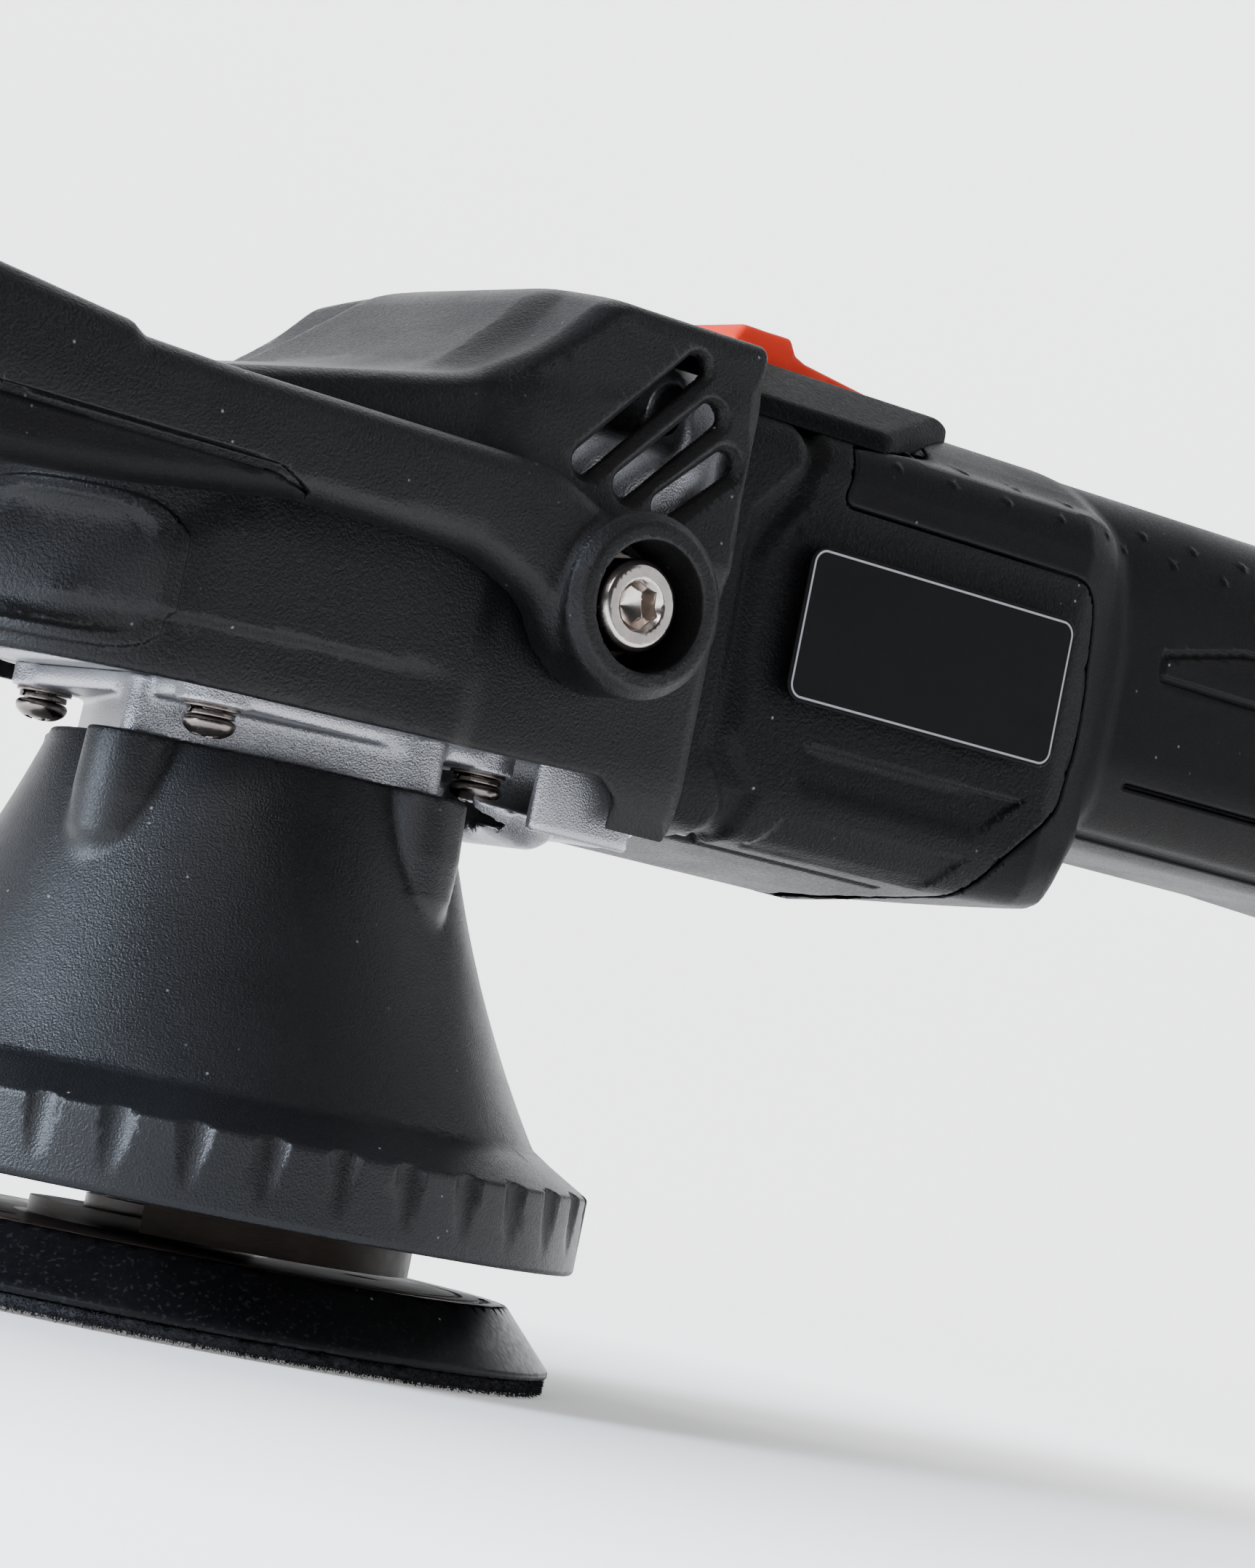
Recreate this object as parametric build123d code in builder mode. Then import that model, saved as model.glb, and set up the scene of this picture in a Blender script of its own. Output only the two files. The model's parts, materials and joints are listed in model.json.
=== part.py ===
"""Cordless dual action polisher with a 125 mm backing plate and a 15 mm throw.

Frame: the origin is on the spindle axis at the hook face of the backing plate, +Z up.
The nose points to -X, the battery to +X, and the left side of the tool is -Y.
"""
from build123d import *
import os
from math import atan, cos, degrees, hypot, pi, radians, sin, tan

os.makedirs("parts", exist_ok=True)

# ------------------------------------------------------------------ driving dimensions (mm)
# Backing plate and its orbit
PLATE_R = 62.5
HOOK_T = 2.7
FOAM_TOP_Z = 11.2
PLATE_TOP_Z = 12.0
PLATE_TOP_R = 53.7
DISC_R = 50.5
ORBIT = 7.5
ORBIT_ANGLE = 75.0
ECC_X = ORBIT * cos(radians(ORBIT_ANGLE))
ECC_Y = ORBIT * sin(radians(ORBIT_ANGLE))

# Shroud
RIM_R = 60.5
RIM_BOTTOM_Z = 18.2
RIM_TOP_Z = 29.6
KNEE_R = 51.0
KNEE_Z = 35.3
WAIST_R = 38.3
WAIST_Z = 58.5
NECK_R = 29.7
NECK_Z = 81.6
SHROUD_WALL = 2.6
SCALLOPS = 36
SCALLOP_R = 3.05
SCALLOP_DEPTH = 0.7
COLLAR_ANGLE = 22.5
SHROUD_BOSS_R = 4.8
SHROUD_SCREW_PCR = 26.6

# Bearing flange between shroud and gear housing
COLLAR_HALF = 23.5
COLLAR_TOP_Z = 87.4
FLANGE_HALF = 27.6
FLANGE_TOP_Z = 90.4
FLANGE_SCREW = 23.3
BEARING_NECK_R = 21.5
BEARING_NECK_Z = 65.0

# Head
MOTOR_Z = 119.0
SEAM_X = 48.0
COVER_FRONT_X = -62.0
COVER_HALF = 40.0
COVER_WALL = 2.6
COVER_TOP_Z = 160.0
COVER_SKIRT_Z = 77.5
COVER_EDGE_Z = 88.0
BOLT_X = 25.4
BOLT_Z = 113.4

# Motor housing, grip and foot
BARREL_X0 = SEAM_X + 0.3
BARREL_HALF = 39.5
BARREL_BOTTOM_Z = 81.5
BARREL_TOP_Z = 156.0
BARREL_END_X = 120.0
GRIP_X = 142.0
GRIP_HALF = 28.0
GRIP_BOTTOM_Z = 97.0
GRIP_TOP_Z = 153.0
GRIP_END_X = 256.0
FOOT_X = 276.0
FOOT_END_X = 294.0
FOOT_HALF = 35.0
FOOT_BOTTOM_Z = 64.0
FOOT_TOP_Z = 172.0
HOUSING_WALL = 3.0

# Running clearances
RUNNING = 0.05
CLEAR = 0.4


# ------------------------------------------------------------------ helpers
def block(x, y, z, mode=Mode.ADD):
    """A box between the given low and high values on each axis, in the open builder."""
    with Locations(((x[0] + x[1]) / 2, (y[0] + y[1]) / 2, (z[0] + z[1]) / 2)):
        Box(x[1] - x[0], y[1] - y[0], z[1] - z[0], mode=mode)


def rod(axis, start, end, centre, radius, mode=Mode.ADD):
    """A cylinder along an axis; centre holds its other two coordinates in X, Y, Z order."""
    middle = (start + end) / 2
    turns = {"X": (0, 90, 0), "Y": (90, 0, 0), "Z": (0, 0, 0)}
    places = {
        "X": (middle, centre[0], centre[1]),
        "Y": (centre[0], middle, centre[1]),
        "Z": (centre[0], centre[1], middle),
    }
    with Locations(Location(places[axis], turns[axis])):
        Cylinder(radius, abs(end - start), mode=mode)


def around(radius, first_angle, count):
    """Places evenly spaced on a circle about the spindle axis."""
    angles = [first_angle + 360 / count * k for k in range(count)]
    return [(radius * cos(radians(a)), radius * sin(radians(a))) for a in angles]


def spread(side, near, far):
    """The low and high Y of a stretch between two distances out from the middle plane."""
    return tuple(sorted((side * near, side * far)))


def write(piece, name):
    """Label a finished sub-part and write its STEP."""
    piece.part.label = name
    export_step(piece.part, f"parts/{name}.step")


# ------------------------------------------------------------------ backing plate
with BuildPart() as backing_hook:
    with BuildSketch(Plane.XY) as hook_face:
        with Locations((ECC_X, ECC_Y)):
            Circle(PLATE_R)
    extrude(amount=HOOK_T)
write(backing_hook, "backing_hook")

FOAM_TAPER = degrees(atan((PLATE_R - PLATE_TOP_R) / (FOAM_TOP_Z - HOOK_T)))
with BuildPart() as backing_foam:
    with BuildSketch(Plane.XY.offset(HOOK_T)) as foam_base:
        with Locations((ECC_X, ECC_Y)):
            Circle(PLATE_R)
    extrude(amount=FOAM_TOP_Z - HOOK_T, taper=FOAM_TAPER)
write(backing_foam, "backing_foam")

HUB_R = 19.0
HUB_TOP_Z = 16.2
PLATE_SHAFT_R = 6.0
PLATE_SHAFT_TOP_Z = 52.0
with BuildPart() as backing_disc:
    with BuildSketch(Plane.XY.offset(FOAM_TOP_Z)) as disc_outline:
        with Locations((ECC_X, ECC_Y)):
            Circle(DISC_R)
            Circle(HUB_R, mode=Mode.SUBTRACT)
    extrude(amount=PLATE_TOP_Z - FOAM_TOP_Z)
write(backing_disc, "backing_disc")

with BuildPart() as plate_hub:
    rod("Z", FOAM_TOP_Z, PLATE_TOP_Z, (ECC_X, ECC_Y), HUB_R)
    rod("Z", PLATE_TOP_Z, 14.4, (ECC_X, ECC_Y), HUB_R - 2.0)
    rod("Z", 14.4, HUB_TOP_Z, (ECC_X, ECC_Y), 9.0)
    rod("Z", 11.0, 20.0, (ECC_X, ECC_Y), PLATE_SHAFT_R, Mode.SUBTRACT)
write(plate_hub, "plate_hub")

with BuildPart() as plate_shaft:
    rod("Z", FOAM_TOP_Z, PLATE_SHAFT_TOP_Z, (ECC_X, ECC_Y), PLATE_SHAFT_R)
write(plate_shaft, "plate_shaft")

# ------------------------------------------------------------------ spindle, its eccentric and counterweight
SPINDLE_R = 7.5
SPINDLE_TOP_R = 5.0
SPINDLE_TOP_Z = 138.0
ECC_HOUSING_R = 20.0
ECC_BOTTOM_Z = 18.6
ECC_TOP_Z = 54.0
ECC_BEARING_R = 16.0
WEIGHT_R = 37.0
WEIGHT_ANGLE = -81.0
WEIGHT_SWEEP = 90.0
WEIGHT_BOTTOM_Z = 13.4
WEIGHT_TOP_Z = 40.0
with BuildPart() as spindle:
    rod("Z", ECC_BOTTOM_Z, ECC_TOP_Z, (ECC_X, ECC_Y), ECC_HOUSING_R)
    rod("Z", ECC_TOP_Z, 64.0, (0, 0), 12.0)
    rod("Z", 64.0, 106.0, (0, 0), SPINDLE_R)
    rod("Z", 106.0, SPINDLE_TOP_Z, (0, 0), SPINDLE_TOP_R)
    rod("Z", ECC_BOTTOM_Z, 47.0, (ECC_X, ECC_Y), ECC_BEARING_R, Mode.SUBTRACT)
    rod("Z", 47.0, 53.0, (ECC_X, ECC_Y), 8.0, Mode.SUBTRACT)
write(spindle, "spindle")


def ring_bearing(centre, axis, start, end, bore_r, outer_r, balls):
    """A deep groove ball bearing as loose rings and balls; returns its builder."""
    mid_r = (bore_r + outer_r) / 2
    ball_r = (outer_r - bore_r) * 0.25
    land = (outer_r - bore_r) * 0.2
    middle = (start + end) / 2
    with BuildPart() as bearing:
        rod(axis, start, end, centre, outer_r)
        rod(axis, start, end, centre, outer_r - land, Mode.SUBTRACT)
        rod(axis, start, end, centre, bore_r + land)
        rod(axis, start, end, centre, bore_r, Mode.SUBTRACT)
        for u, v in around(mid_r, 0, balls):
            spots = {
                "X": (middle, centre[0] + u, centre[1] + v),
                "Z": (centre[0] + u, centre[1] + v, middle),
            }
            with Locations(spots[axis]):
                Sphere(ball_r * 0.98)
    return bearing


eccentric_bearings = ring_bearing(
    (ECC_X, ECC_Y), "Z", 22.0, 32.0, PLATE_SHAFT_R + RUNNING, ECC_BEARING_R, 8
)
with BuildPart() as eccentric_bearing_pair:
    add(eccentric_bearings.part)
    add(eccentric_bearings.part.moved(Location((0, 0, 14.0))))
write(eccentric_bearing_pair, "eccentric_bearings")

with BuildPart() as eccentric_seal:
    rod("Z", ECC_BOTTOM_Z, 21.4, (ECC_X, ECC_Y), ECC_BEARING_R)
    rod("Z", ECC_BOTTOM_Z, 21.4, (ECC_X, ECC_Y), PLATE_SHAFT_R + 0.1, Mode.SUBTRACT)
write(eccentric_seal, "eccentric_seal")

# The weight is a thick quarter ring of steel on the far side of the spindle from the plate's centre.
weight_edges = [radians(WEIGHT_ANGLE + turn * WEIGHT_SWEEP / 2) for turn in (-1, 0, 1)]
weight_rim = [(WEIGHT_R * cos(a), WEIGHT_R * sin(a)) for a in weight_edges]
weight_screw_spots = [
    (29.0 * cos(radians(WEIGHT_ANGLE + turn)), 29.0 * sin(radians(WEIGHT_ANGLE + turn))) for turn in (-18, 18)
]
with BuildPart() as counterweight:
    with BuildSketch(Plane.XY.offset(WEIGHT_BOTTOM_Z)) as weight_outline:
        with BuildLine() as weight_line:
            Line((0, 0), weight_rim[0])
            ThreePointArc(*weight_rim)
            Line(weight_rim[2], (0, 0))
        make_face()
        with Locations((ECC_X, ECC_Y)):
            Circle(ECC_HOUSING_R, mode=Mode.SUBTRACT)
    extrude(amount=WEIGHT_TOP_Z - WEIGHT_BOTTOM_Z)
    for spot in weight_screw_spots:
        rod("Z", WEIGHT_TOP_Z - 12.0, WEIGHT_TOP_Z, spot, 2.5, Mode.SUBTRACT)
write(counterweight, "counterweight")

with BuildPart() as counterweight_screws:
    for spot in weight_screw_spots:
        rod("Z", WEIGHT_TOP_Z, WEIGHT_TOP_Z + 4.0, spot, 4.2)
        rod("Z", WEIGHT_TOP_Z - 12.0, WEIGHT_TOP_Z, spot, 2.5)
write(counterweight_screws, "counterweight_screws")

# ------------------------------------------------------------------ shroud
with BuildPart() as shroud:
    with BuildSketch(Plane.XZ) as shroud_section:
        with BuildLine() as shroud_outline:
            Polyline((RIM_R - 2.2, RIM_BOTTOM_Z), (RIM_R, RIM_BOTTOM_Z), (RIM_R, RIM_TOP_Z), (KNEE_R, KNEE_Z))
            ThreePointArc((KNEE_R, KNEE_Z), (WAIST_R, WAIST_Z), (NECK_R, NECK_Z))
            Polyline((NECK_R, NECK_Z), (BEARING_NECK_R + 0.3, NECK_Z), (BEARING_NECK_R + 0.3, NECK_Z - 3.0))
            Line((BEARING_NECK_R + 0.3, NECK_Z - 3.0), (NECK_R - SHROUD_WALL + 0.6, NECK_Z - 3.0))
            ThreePointArc(
                (NECK_R - SHROUD_WALL + 0.6, NECK_Z - 3.0),
                (WAIST_R - SHROUD_WALL, WAIST_Z - 1.2),
                (KNEE_R - SHROUD_WALL, KNEE_Z - 1.4),
            )
            Polyline(
                (KNEE_R - SHROUD_WALL, KNEE_Z - 1.4),
                (RIM_R - 2.2, RIM_TOP_Z - 1.6),
                (RIM_R - 2.2, RIM_BOTTOM_Z),
            )
        make_face()
    revolve(axis=Axis.Z)
    # Teardrop bosses that follow the flank below each corner of the collar
    for k in range(4):
        turn = Rotation(0, 0, COLLAR_ANGLE + 90 * k)
        lean = Plane(origin=(NECK_R - 1.6, 0, NECK_Z + 2.0), x_dir=(0, 1, 0), z_dir=(0.27, 0, -1))
        with BuildSketch(turn * lean) as boss_top:
            Circle(SHROUD_BOSS_R)
        extrude(amount=12.5)
        with BuildSketch(turn * lean.offset(12.5)) as boss_nose:
            Circle(SHROUD_BOSS_R)
        extrude(amount=11.0, taper=19.0)
    block((-80, 80), (-80, 80), (NECK_Z, NECK_Z + 10), Mode.SUBTRACT)
    # Columns inside that take the shroud screws
    for spot in around(SHROUD_SCREW_PCR, COLLAR_ANGLE, 4):
        rod("Z", NECK_Z - 9.0, NECK_Z, spot, 4.2)
    rod("Z", BEARING_NECK_Z - 10, NECK_Z, (0, 0), BEARING_NECK_R + 0.3, Mode.SUBTRACT)
    for spot in around(SHROUD_SCREW_PCR, COLLAR_ANGLE, 4):
        rod("Z", NECK_Z - 12.0, NECK_Z, spot, 2.1, Mode.SUBTRACT)
        rod("Z", NECK_Z - 20.0, NECK_Z - 9.0, spot, 3.9, Mode.SUBTRACT)
    # Finger scallops round the rim
    for k in range(SCALLOPS):
        turn = Rotation(0, 0, 360 / SCALLOPS * k)
        cutter = Plane(origin=(RIM_R - SCALLOP_DEPTH, 0, RIM_TOP_Z - 5.7), x_dir=(0, 1, 0), z_dir=(1, 0, 0))
        with BuildSketch(turn * cutter) as scallop:
            Circle(SCALLOP_R)
            with Locations((0, 3.0)):
                Rectangle(2 * SCALLOP_R, 6.0)
        extrude(amount=SCALLOP_DEPTH + 1.0, mode=Mode.SUBTRACT)
write(shroud, "shroud")

with BuildPart() as shroud_screws:
    for spot in around(SHROUD_SCREW_PCR, COLLAR_ANGLE, 4):
        rod("Z", NECK_Z - 13.0, NECK_Z - 9.0, spot, 3.6)
        rod("Z", NECK_Z - 9.0, COLLAR_TOP_Z, spot, 2.0)
write(shroud_screws, "shroud_screws")

# ------------------------------------------------------------------ bearing flange and its screws
LOWER_BEARING_R = 17.5
with BuildPart() as bearing_flange:
    with BuildSketch(Plane.XY.offset(COLLAR_TOP_Z)) as flange_outline:
        RectangleRounded(2 * FLANGE_HALF, 2 * FLANGE_HALF, 5.0)
    extrude(amount=FLANGE_TOP_Z - COLLAR_TOP_Z)
    with BuildSketch(Plane.XY.offset(NECK_Z)) as collar_outline:
        RectangleRounded(2 * COLLAR_HALF, 2 * COLLAR_HALF, 1.5, rotation=COLLAR_ANGLE + 45)
    extrude(amount=COLLAR_TOP_Z - NECK_Z)
    rod("Z", BEARING_NECK_Z, NECK_Z, (0, 0), BEARING_NECK_R)
    rod("Z", BEARING_NECK_Z, 79.0, (0, 0), LOWER_BEARING_R, Mode.SUBTRACT)
    rod("Z", 70.0, FLANGE_TOP_Z, (0, 0), 13.0, Mode.SUBTRACT)
    with Locations(*[(x, y, 0) for x in (-FLANGE_SCREW, FLANGE_SCREW) for y in (-FLANGE_SCREW, FLANGE_SCREW)]):
        Cylinder(2.1, 400, mode=Mode.SUBTRACT)
    for spot in around(SHROUD_SCREW_PCR, COLLAR_ANGLE, 4):
        rod("Z", NECK_Z - 1.0, COLLAR_TOP_Z, spot, 2.0, Mode.SUBTRACT)
write(bearing_flange, "bearing_flange")

lower_spindle_bearing = ring_bearing((0, 0), "Z", 68.0, 79.0, SPINDLE_R + RUNNING, LOWER_BEARING_R, 8)
write(lower_spindle_bearing, "lower_spindle_bearing")

with BuildPart() as retaining_ring:
    rod("Z", 66.2, 67.9, (0, 0), LOWER_BEARING_R)
    rod("Z", 66.2, 67.9, (0, 0), LOWER_BEARING_R - 3.0, Mode.SUBTRACT)
    block((0, 30), (-4, 4), (66, 68), Mode.SUBTRACT)
write(retaining_ring, "retaining_ring")

SCREW_HEAD_R = 3.9
SCREW_HEAD_H = 2.9
WASHER_R = 4.1
FLAT_WASHER_T = 0.9
SPRING_WASHER_T = 1.1
flange_corners = [(x, y) for x in (-FLANGE_SCREW, FLANGE_SCREW) for y in (-FLANGE_SCREW, FLANGE_SCREW)]
HEAD_TOP_Z = COLLAR_TOP_Z - FLAT_WASHER_T - SPRING_WASHER_T
with BuildPart() as flange_screws:
    for spot in flange_corners:
        rod("Z", HEAD_TOP_Z - SCREW_HEAD_H, HEAD_TOP_Z, spot, SCREW_HEAD_R)
    fillet(flange_screws.edges().group_by(Axis.Z)[0], radius=1.6)
    for spot in flange_corners:
        block(
            (spot[0] - 2.0, spot[0] + 2.0), (spot[1] - 0.45, spot[1] + 0.45),
            (HEAD_TOP_Z - SCREW_HEAD_H, HEAD_TOP_Z - SCREW_HEAD_H + 1.6), Mode.SUBTRACT,
        )
        block(
            (spot[0] - 0.45, spot[0] + 0.45), (spot[1] - 2.0, spot[1] + 2.0),
            (HEAD_TOP_Z - SCREW_HEAD_H, HEAD_TOP_Z - SCREW_HEAD_H + 1.6), Mode.SUBTRACT,
        )
        rod("Z", HEAD_TOP_Z, 99.0, spot, 1.95)
write(flange_screws, "flange_screws")

with BuildPart() as flange_washers:
    for spot in flange_corners:
        rod("Z", COLLAR_TOP_Z - FLAT_WASHER_T, COLLAR_TOP_Z, spot, WASHER_R)
        rod("Z", HEAD_TOP_Z, COLLAR_TOP_Z - FLAT_WASHER_T, spot, WASHER_R - 0.5)
        rod("Z", HEAD_TOP_Z, COLLAR_TOP_Z, spot, 2.1, Mode.SUBTRACT)
write(flange_washers, "flange_washers")

# ------------------------------------------------------------------ gear housing
GEARBOX_R = 33.0
REAR_FLANGE_X = 39.0
BOLT_PAD_R = 9.0
FRONT_BEARING_R = 13.0
with BuildPart() as gear_housing:
    with BuildSketch(Plane.XY.offset(FLANGE_TOP_Z)) as gearbox_foot:
        RectangleRounded(2 * GEARBOX_R, 2 * GEARBOX_R, 9.0)
    extrude(amount=9.0)
    rod("Z", FLANGE_TOP_Z, 130.0, (0, 0), 29.0)
    rod("Z", 130.0, 142.0, (0, 0), 15.0)
    rod("X", 14.0, SEAM_X, (0, MOTOR_Z), GEARBOX_R)
    block((-40.0, 32.0), (-40.0, 40.0), (70.0, FLANGE_TOP_Z), Mode.SUBTRACT)
    with BuildSketch(Plane.YZ.offset(REAR_FLANGE_X)) as rear_flange:
        with Locations((0, 116.5)):
            RectangleRounded(71.0, 72.0, 12.0)
    extrude(amount=SEAM_X - REAR_FLANGE_X)
    rod("Y", -COVER_HALF - 1.3, COVER_HALF + 1.3, (BOLT_X, BOLT_Z), BOLT_PAD_R)
    # Gear chamber, bearing seats and shaft passages
    rod("Z", FLANGE_TOP_Z, 126.0, (0, 0), 25.0, Mode.SUBTRACT)
    rod("Z", 125.0, 139.5, (0, 0), 11.0, Mode.SUBTRACT)
    rod("X", 0, 32.0, (0, MOTOR_Z), 10.0, Mode.SUBTRACT)
    rod("X", 30.0, 41.0, (0, MOTOR_Z), FRONT_BEARING_R, Mode.SUBTRACT)
    rod("X", 41.0, SEAM_X, (0, MOTOR_Z), 29.0, Mode.SUBTRACT)
    for x, y in flange_corners:
        rod("Z", FLANGE_TOP_Z, 99.2, (x, y), 2.05, Mode.SUBTRACT)
    for side in (-1, 1):
        rod("Y", side * 29.0, side * (COVER_HALF + 2), (BOLT_X, BOLT_Z), 4.0, Mode.SUBTRACT)
    for y in (-29.0, 29.0):
        for z in (87.0, 145.0):
            rod("X", 30.0, 50.0, (y, z), 2.1, Mode.SUBTRACT)
            rod("X", 25.0, 43.0, (y, z), 4.4, Mode.SUBTRACT)
write(gear_housing, "gear_housing")

with BuildPart() as gearbox_screws:
    for y in (-29.0, 29.0):
        for z in (87.0, 145.0):
            rod("X", 40.0, 43.0, (y, z), 3.8)
            rod("X", 43.0, 58.0, (y, z), 2.0)
            rod("X", 40.0, 41.8, (y, z), 1.6, Mode.SUBTRACT)
write(gearbox_screws, "gearbox_screws")

upper_spindle_bearing = ring_bearing((0, 0), "Z", 130.5, 137.5, SPINDLE_TOP_R + RUNNING, 11.0, 7)
write(upper_spindle_bearing, "upper_spindle_bearing")
front_motor_bearing = ring_bearing((0, MOTOR_Z), "X", 33.0, 41.0, 5.0 + RUNNING, FRONT_BEARING_R, 8)
write(front_motor_bearing, "front_motor_bearing")

# ------------------------------------------------------------------ bevel gears
GEAR_TEETH = 36
PINION_TEETH = 12
MODULE = 1.1
ADDENDUM = 0.8 * MODULE
DEDENDUM = 1.05 * MODULE
TOOTH_HALF = 0.2 * pi * MODULE
GEAR_PITCH_R = MODULE * GEAR_TEETH / 2
PINION_PITCH_R = MODULE * PINION_TEETH / 2
CONE_OUT = hypot(GEAR_PITCH_R, PINION_PITCH_R)
CONE_IN = CONE_OUT - 6.5
FLANK = tan(radians(20))
APEX = Vector(0, 0, MOTOR_Z)


def bevel_tooth(along, across, sink):
    """A straight tooth that shrinks towards the apex, as a loft of two trapezoids."""
    faces = []
    for distance in (CONE_IN, CONE_OUT):
        k = distance / CONE_OUT
        plane = Plane(origin=APEX + along * distance, x_dir=across, z_dir=along)
        low = -(DEDENDUM + sink) * k
        high = ADDENDUM * k
        wide = (TOOTH_HALF + DEDENDUM * FLANK) * k
        narrow = (TOOTH_HALF - ADDENDUM * FLANK) * k
        with BuildSketch(plane) as section:
            Polygon((-wide, low), (wide, low), (narrow, high), (-narrow, high), align=None)
        faces.append(section.sketch)
    return faces


def cone_point(distance, depth, along, outward):
    """A point on the gear's own section, depth below the pitch line."""
    return (along[0] * distance - outward[0] * depth, along[1] * distance - outward[1] * depth)


RISE = PINION_PITCH_R / CONE_OUT
RUN = GEAR_PITCH_R / CONE_OUT
ROOT_OUT = DEDENDUM
ROOT_IN = DEDENDUM * CONE_IN / CONE_OUT
with BuildPart() as bevel_gear:
    outer = cone_point(CONE_OUT, ROOT_OUT, (RUN, -RISE), (RISE, RUN))
    inner = cone_point(CONE_IN, ROOT_IN, (RUN, -RISE), (RISE, RUN))
    with BuildSketch(Plane.XZ) as gear_blank:
        Polygon(
            (SPINDLE_TOP_R, 106.0), (17.0, 106.0), (outer[0], 108.5), (outer[0], MOTOR_Z + outer[1]),
            (inner[0], MOTOR_Z + inner[1]), (SPINDLE_TOP_R, MOTOR_Z + inner[1]), align=None,
        )
    revolve(axis=Axis.Z)
    for k in range(GEAR_TEETH):
        a = radians(360 / GEAR_TEETH * (k + 0.5))
        tooth = bevel_tooth(Vector(RUN * cos(a), RUN * sin(a), -RISE), Vector(-sin(a), cos(a), 0), 0.12)
        loft(sections=tooth)
write(bevel_gear, "bevel_gear")

PINION_BORE_R = 2.5
with BuildPart() as pinion:
    outer = cone_point(CONE_OUT, ROOT_OUT, (RUN, RISE), (-RISE, RUN))
    inner = cone_point(CONE_IN, ROOT_IN, (RUN, RISE), (-RISE, RUN))
    with BuildSketch(Plane.XZ) as pinion_blank:
        Polygon(
            (inner[0], MOTOR_Z + PINION_BORE_R), (inner[0], MOTOR_Z + inner[1]), (outer[0], MOTOR_Z + outer[1]),
            (26.0, MOTOR_Z + outer[1]), (26.0, MOTOR_Z + PINION_BORE_R), align=None,
        )
    revolve(axis=Axis((0, 0, MOTOR_Z), (1, 0, 0)))
    for k in range(PINION_TEETH):
        a = radians(-90 + 360 / PINION_TEETH * k)
        tooth = bevel_tooth(Vector(RUN, RISE * cos(a), RISE * sin(a)), Vector(0, sin(a), -cos(a)), 0.12)
        loft(sections=tooth)
write(pinion, "pinion")

# ------------------------------------------------------------------ motor
SHAFT_END_X = 129.5
ROTOR_R = 13.0
STATOR_R = 27.0
with BuildPart() as motor_shaft:
    rod("X", 14.0, 26.0, (0, MOTOR_Z), PINION_BORE_R)
    rod("X", 26.0, 60.0, (0, MOTOR_Z), 5.0)
    rod("X", 60.0, SHAFT_END_X, (0, MOTOR_Z), 4.0)
write(motor_shaft, "motor_shaft")

with BuildPart() as rotor_core:
    rod("X", 64.0, 100.0, (0, MOTOR_Z), ROTOR_R)
    rod("X", 64.0, 100.0, (0, MOTOR_Z), 4.0, Mode.SUBTRACT)
write(rotor_core, "rotor_core")

with BuildPart() as stator_core:
    rod("X", 66.0, 98.0, (0, MOTOR_Z), STATOR_R)
    rod("X", 66.0, 98.0, (0, MOTOR_Z), STATOR_R - 4.0, Mode.SUBTRACT)
    with BuildSketch(Plane.YZ.offset(66.0)) as stator_teeth:
        with Locations((0, MOTOR_Z)):
            with PolarLocations(18.5, 6):
                Rectangle(10.5, 6.0)
    extrude(amount=32.0)
    rod("X", 66.0, 98.0, (0, MOTOR_Z), ROTOR_R + 0.6, Mode.SUBTRACT)
write(stator_core, "stator_core")

with BuildPart() as stator_windings:
    with BuildSketch(Plane.YZ.offset(62.0)) as coil_outline:
        with Locations((0, MOTOR_Z)):
            with PolarLocations(18.5, 6):
                Rectangle(7.0, 11.0)
                Rectangle(8.2, 6.4, mode=Mode.SUBTRACT)
    extrude(amount=40.0)
write(stator_windings, "stator_windings")

FAN_R = 25.0
with BuildPart() as fan:
    rod("X", 50.0, 52.0, (0, MOTOR_Z), FAN_R)
    rod("X", 50.0, 59.0, (0, MOTOR_Z), 8.0)
    with BuildSketch(Plane.YZ.offset(52.0)) as blades:
        with Locations((0, MOTOR_Z)):
            with PolarLocations(15.8, 11):
                Rectangle(17.0, 1.4, rotation=14)
    extrude(amount=7.0)
    rod("X", 50.0, 59.0, (0, MOTOR_Z), 5.0, Mode.SUBTRACT)
write(fan, "fan")

rear_motor_bearing = ring_bearing((0, MOTOR_Z), "X", 122.0, 129.0, 4.0 + RUNNING, 11.0, 7)
write(rear_motor_bearing, "rear_motor_bearing")

with BuildPart() as motor_end_bracket:
    rod("X", 119.0, 131.5, (0, MOTOR_Z), 14.5)
    with BuildSketch(Plane.YZ.offset(119.0)) as bracket_arms:
        with Locations((0, MOTOR_Z)):
            Rectangle(2 * (BARREL_HALF - HOUSING_WALL) - 0.1, 9.0)
    extrude(amount=1.0)
    rod("X", 119.0, 129.0, (0, MOTOR_Z), 11.0, Mode.SUBTRACT)
    rod("X", 128.0, 132.0, (0, MOTOR_Z), 6.0, Mode.SUBTRACT)
write(motor_end_bracket, "motor_end_bracket")


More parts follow.
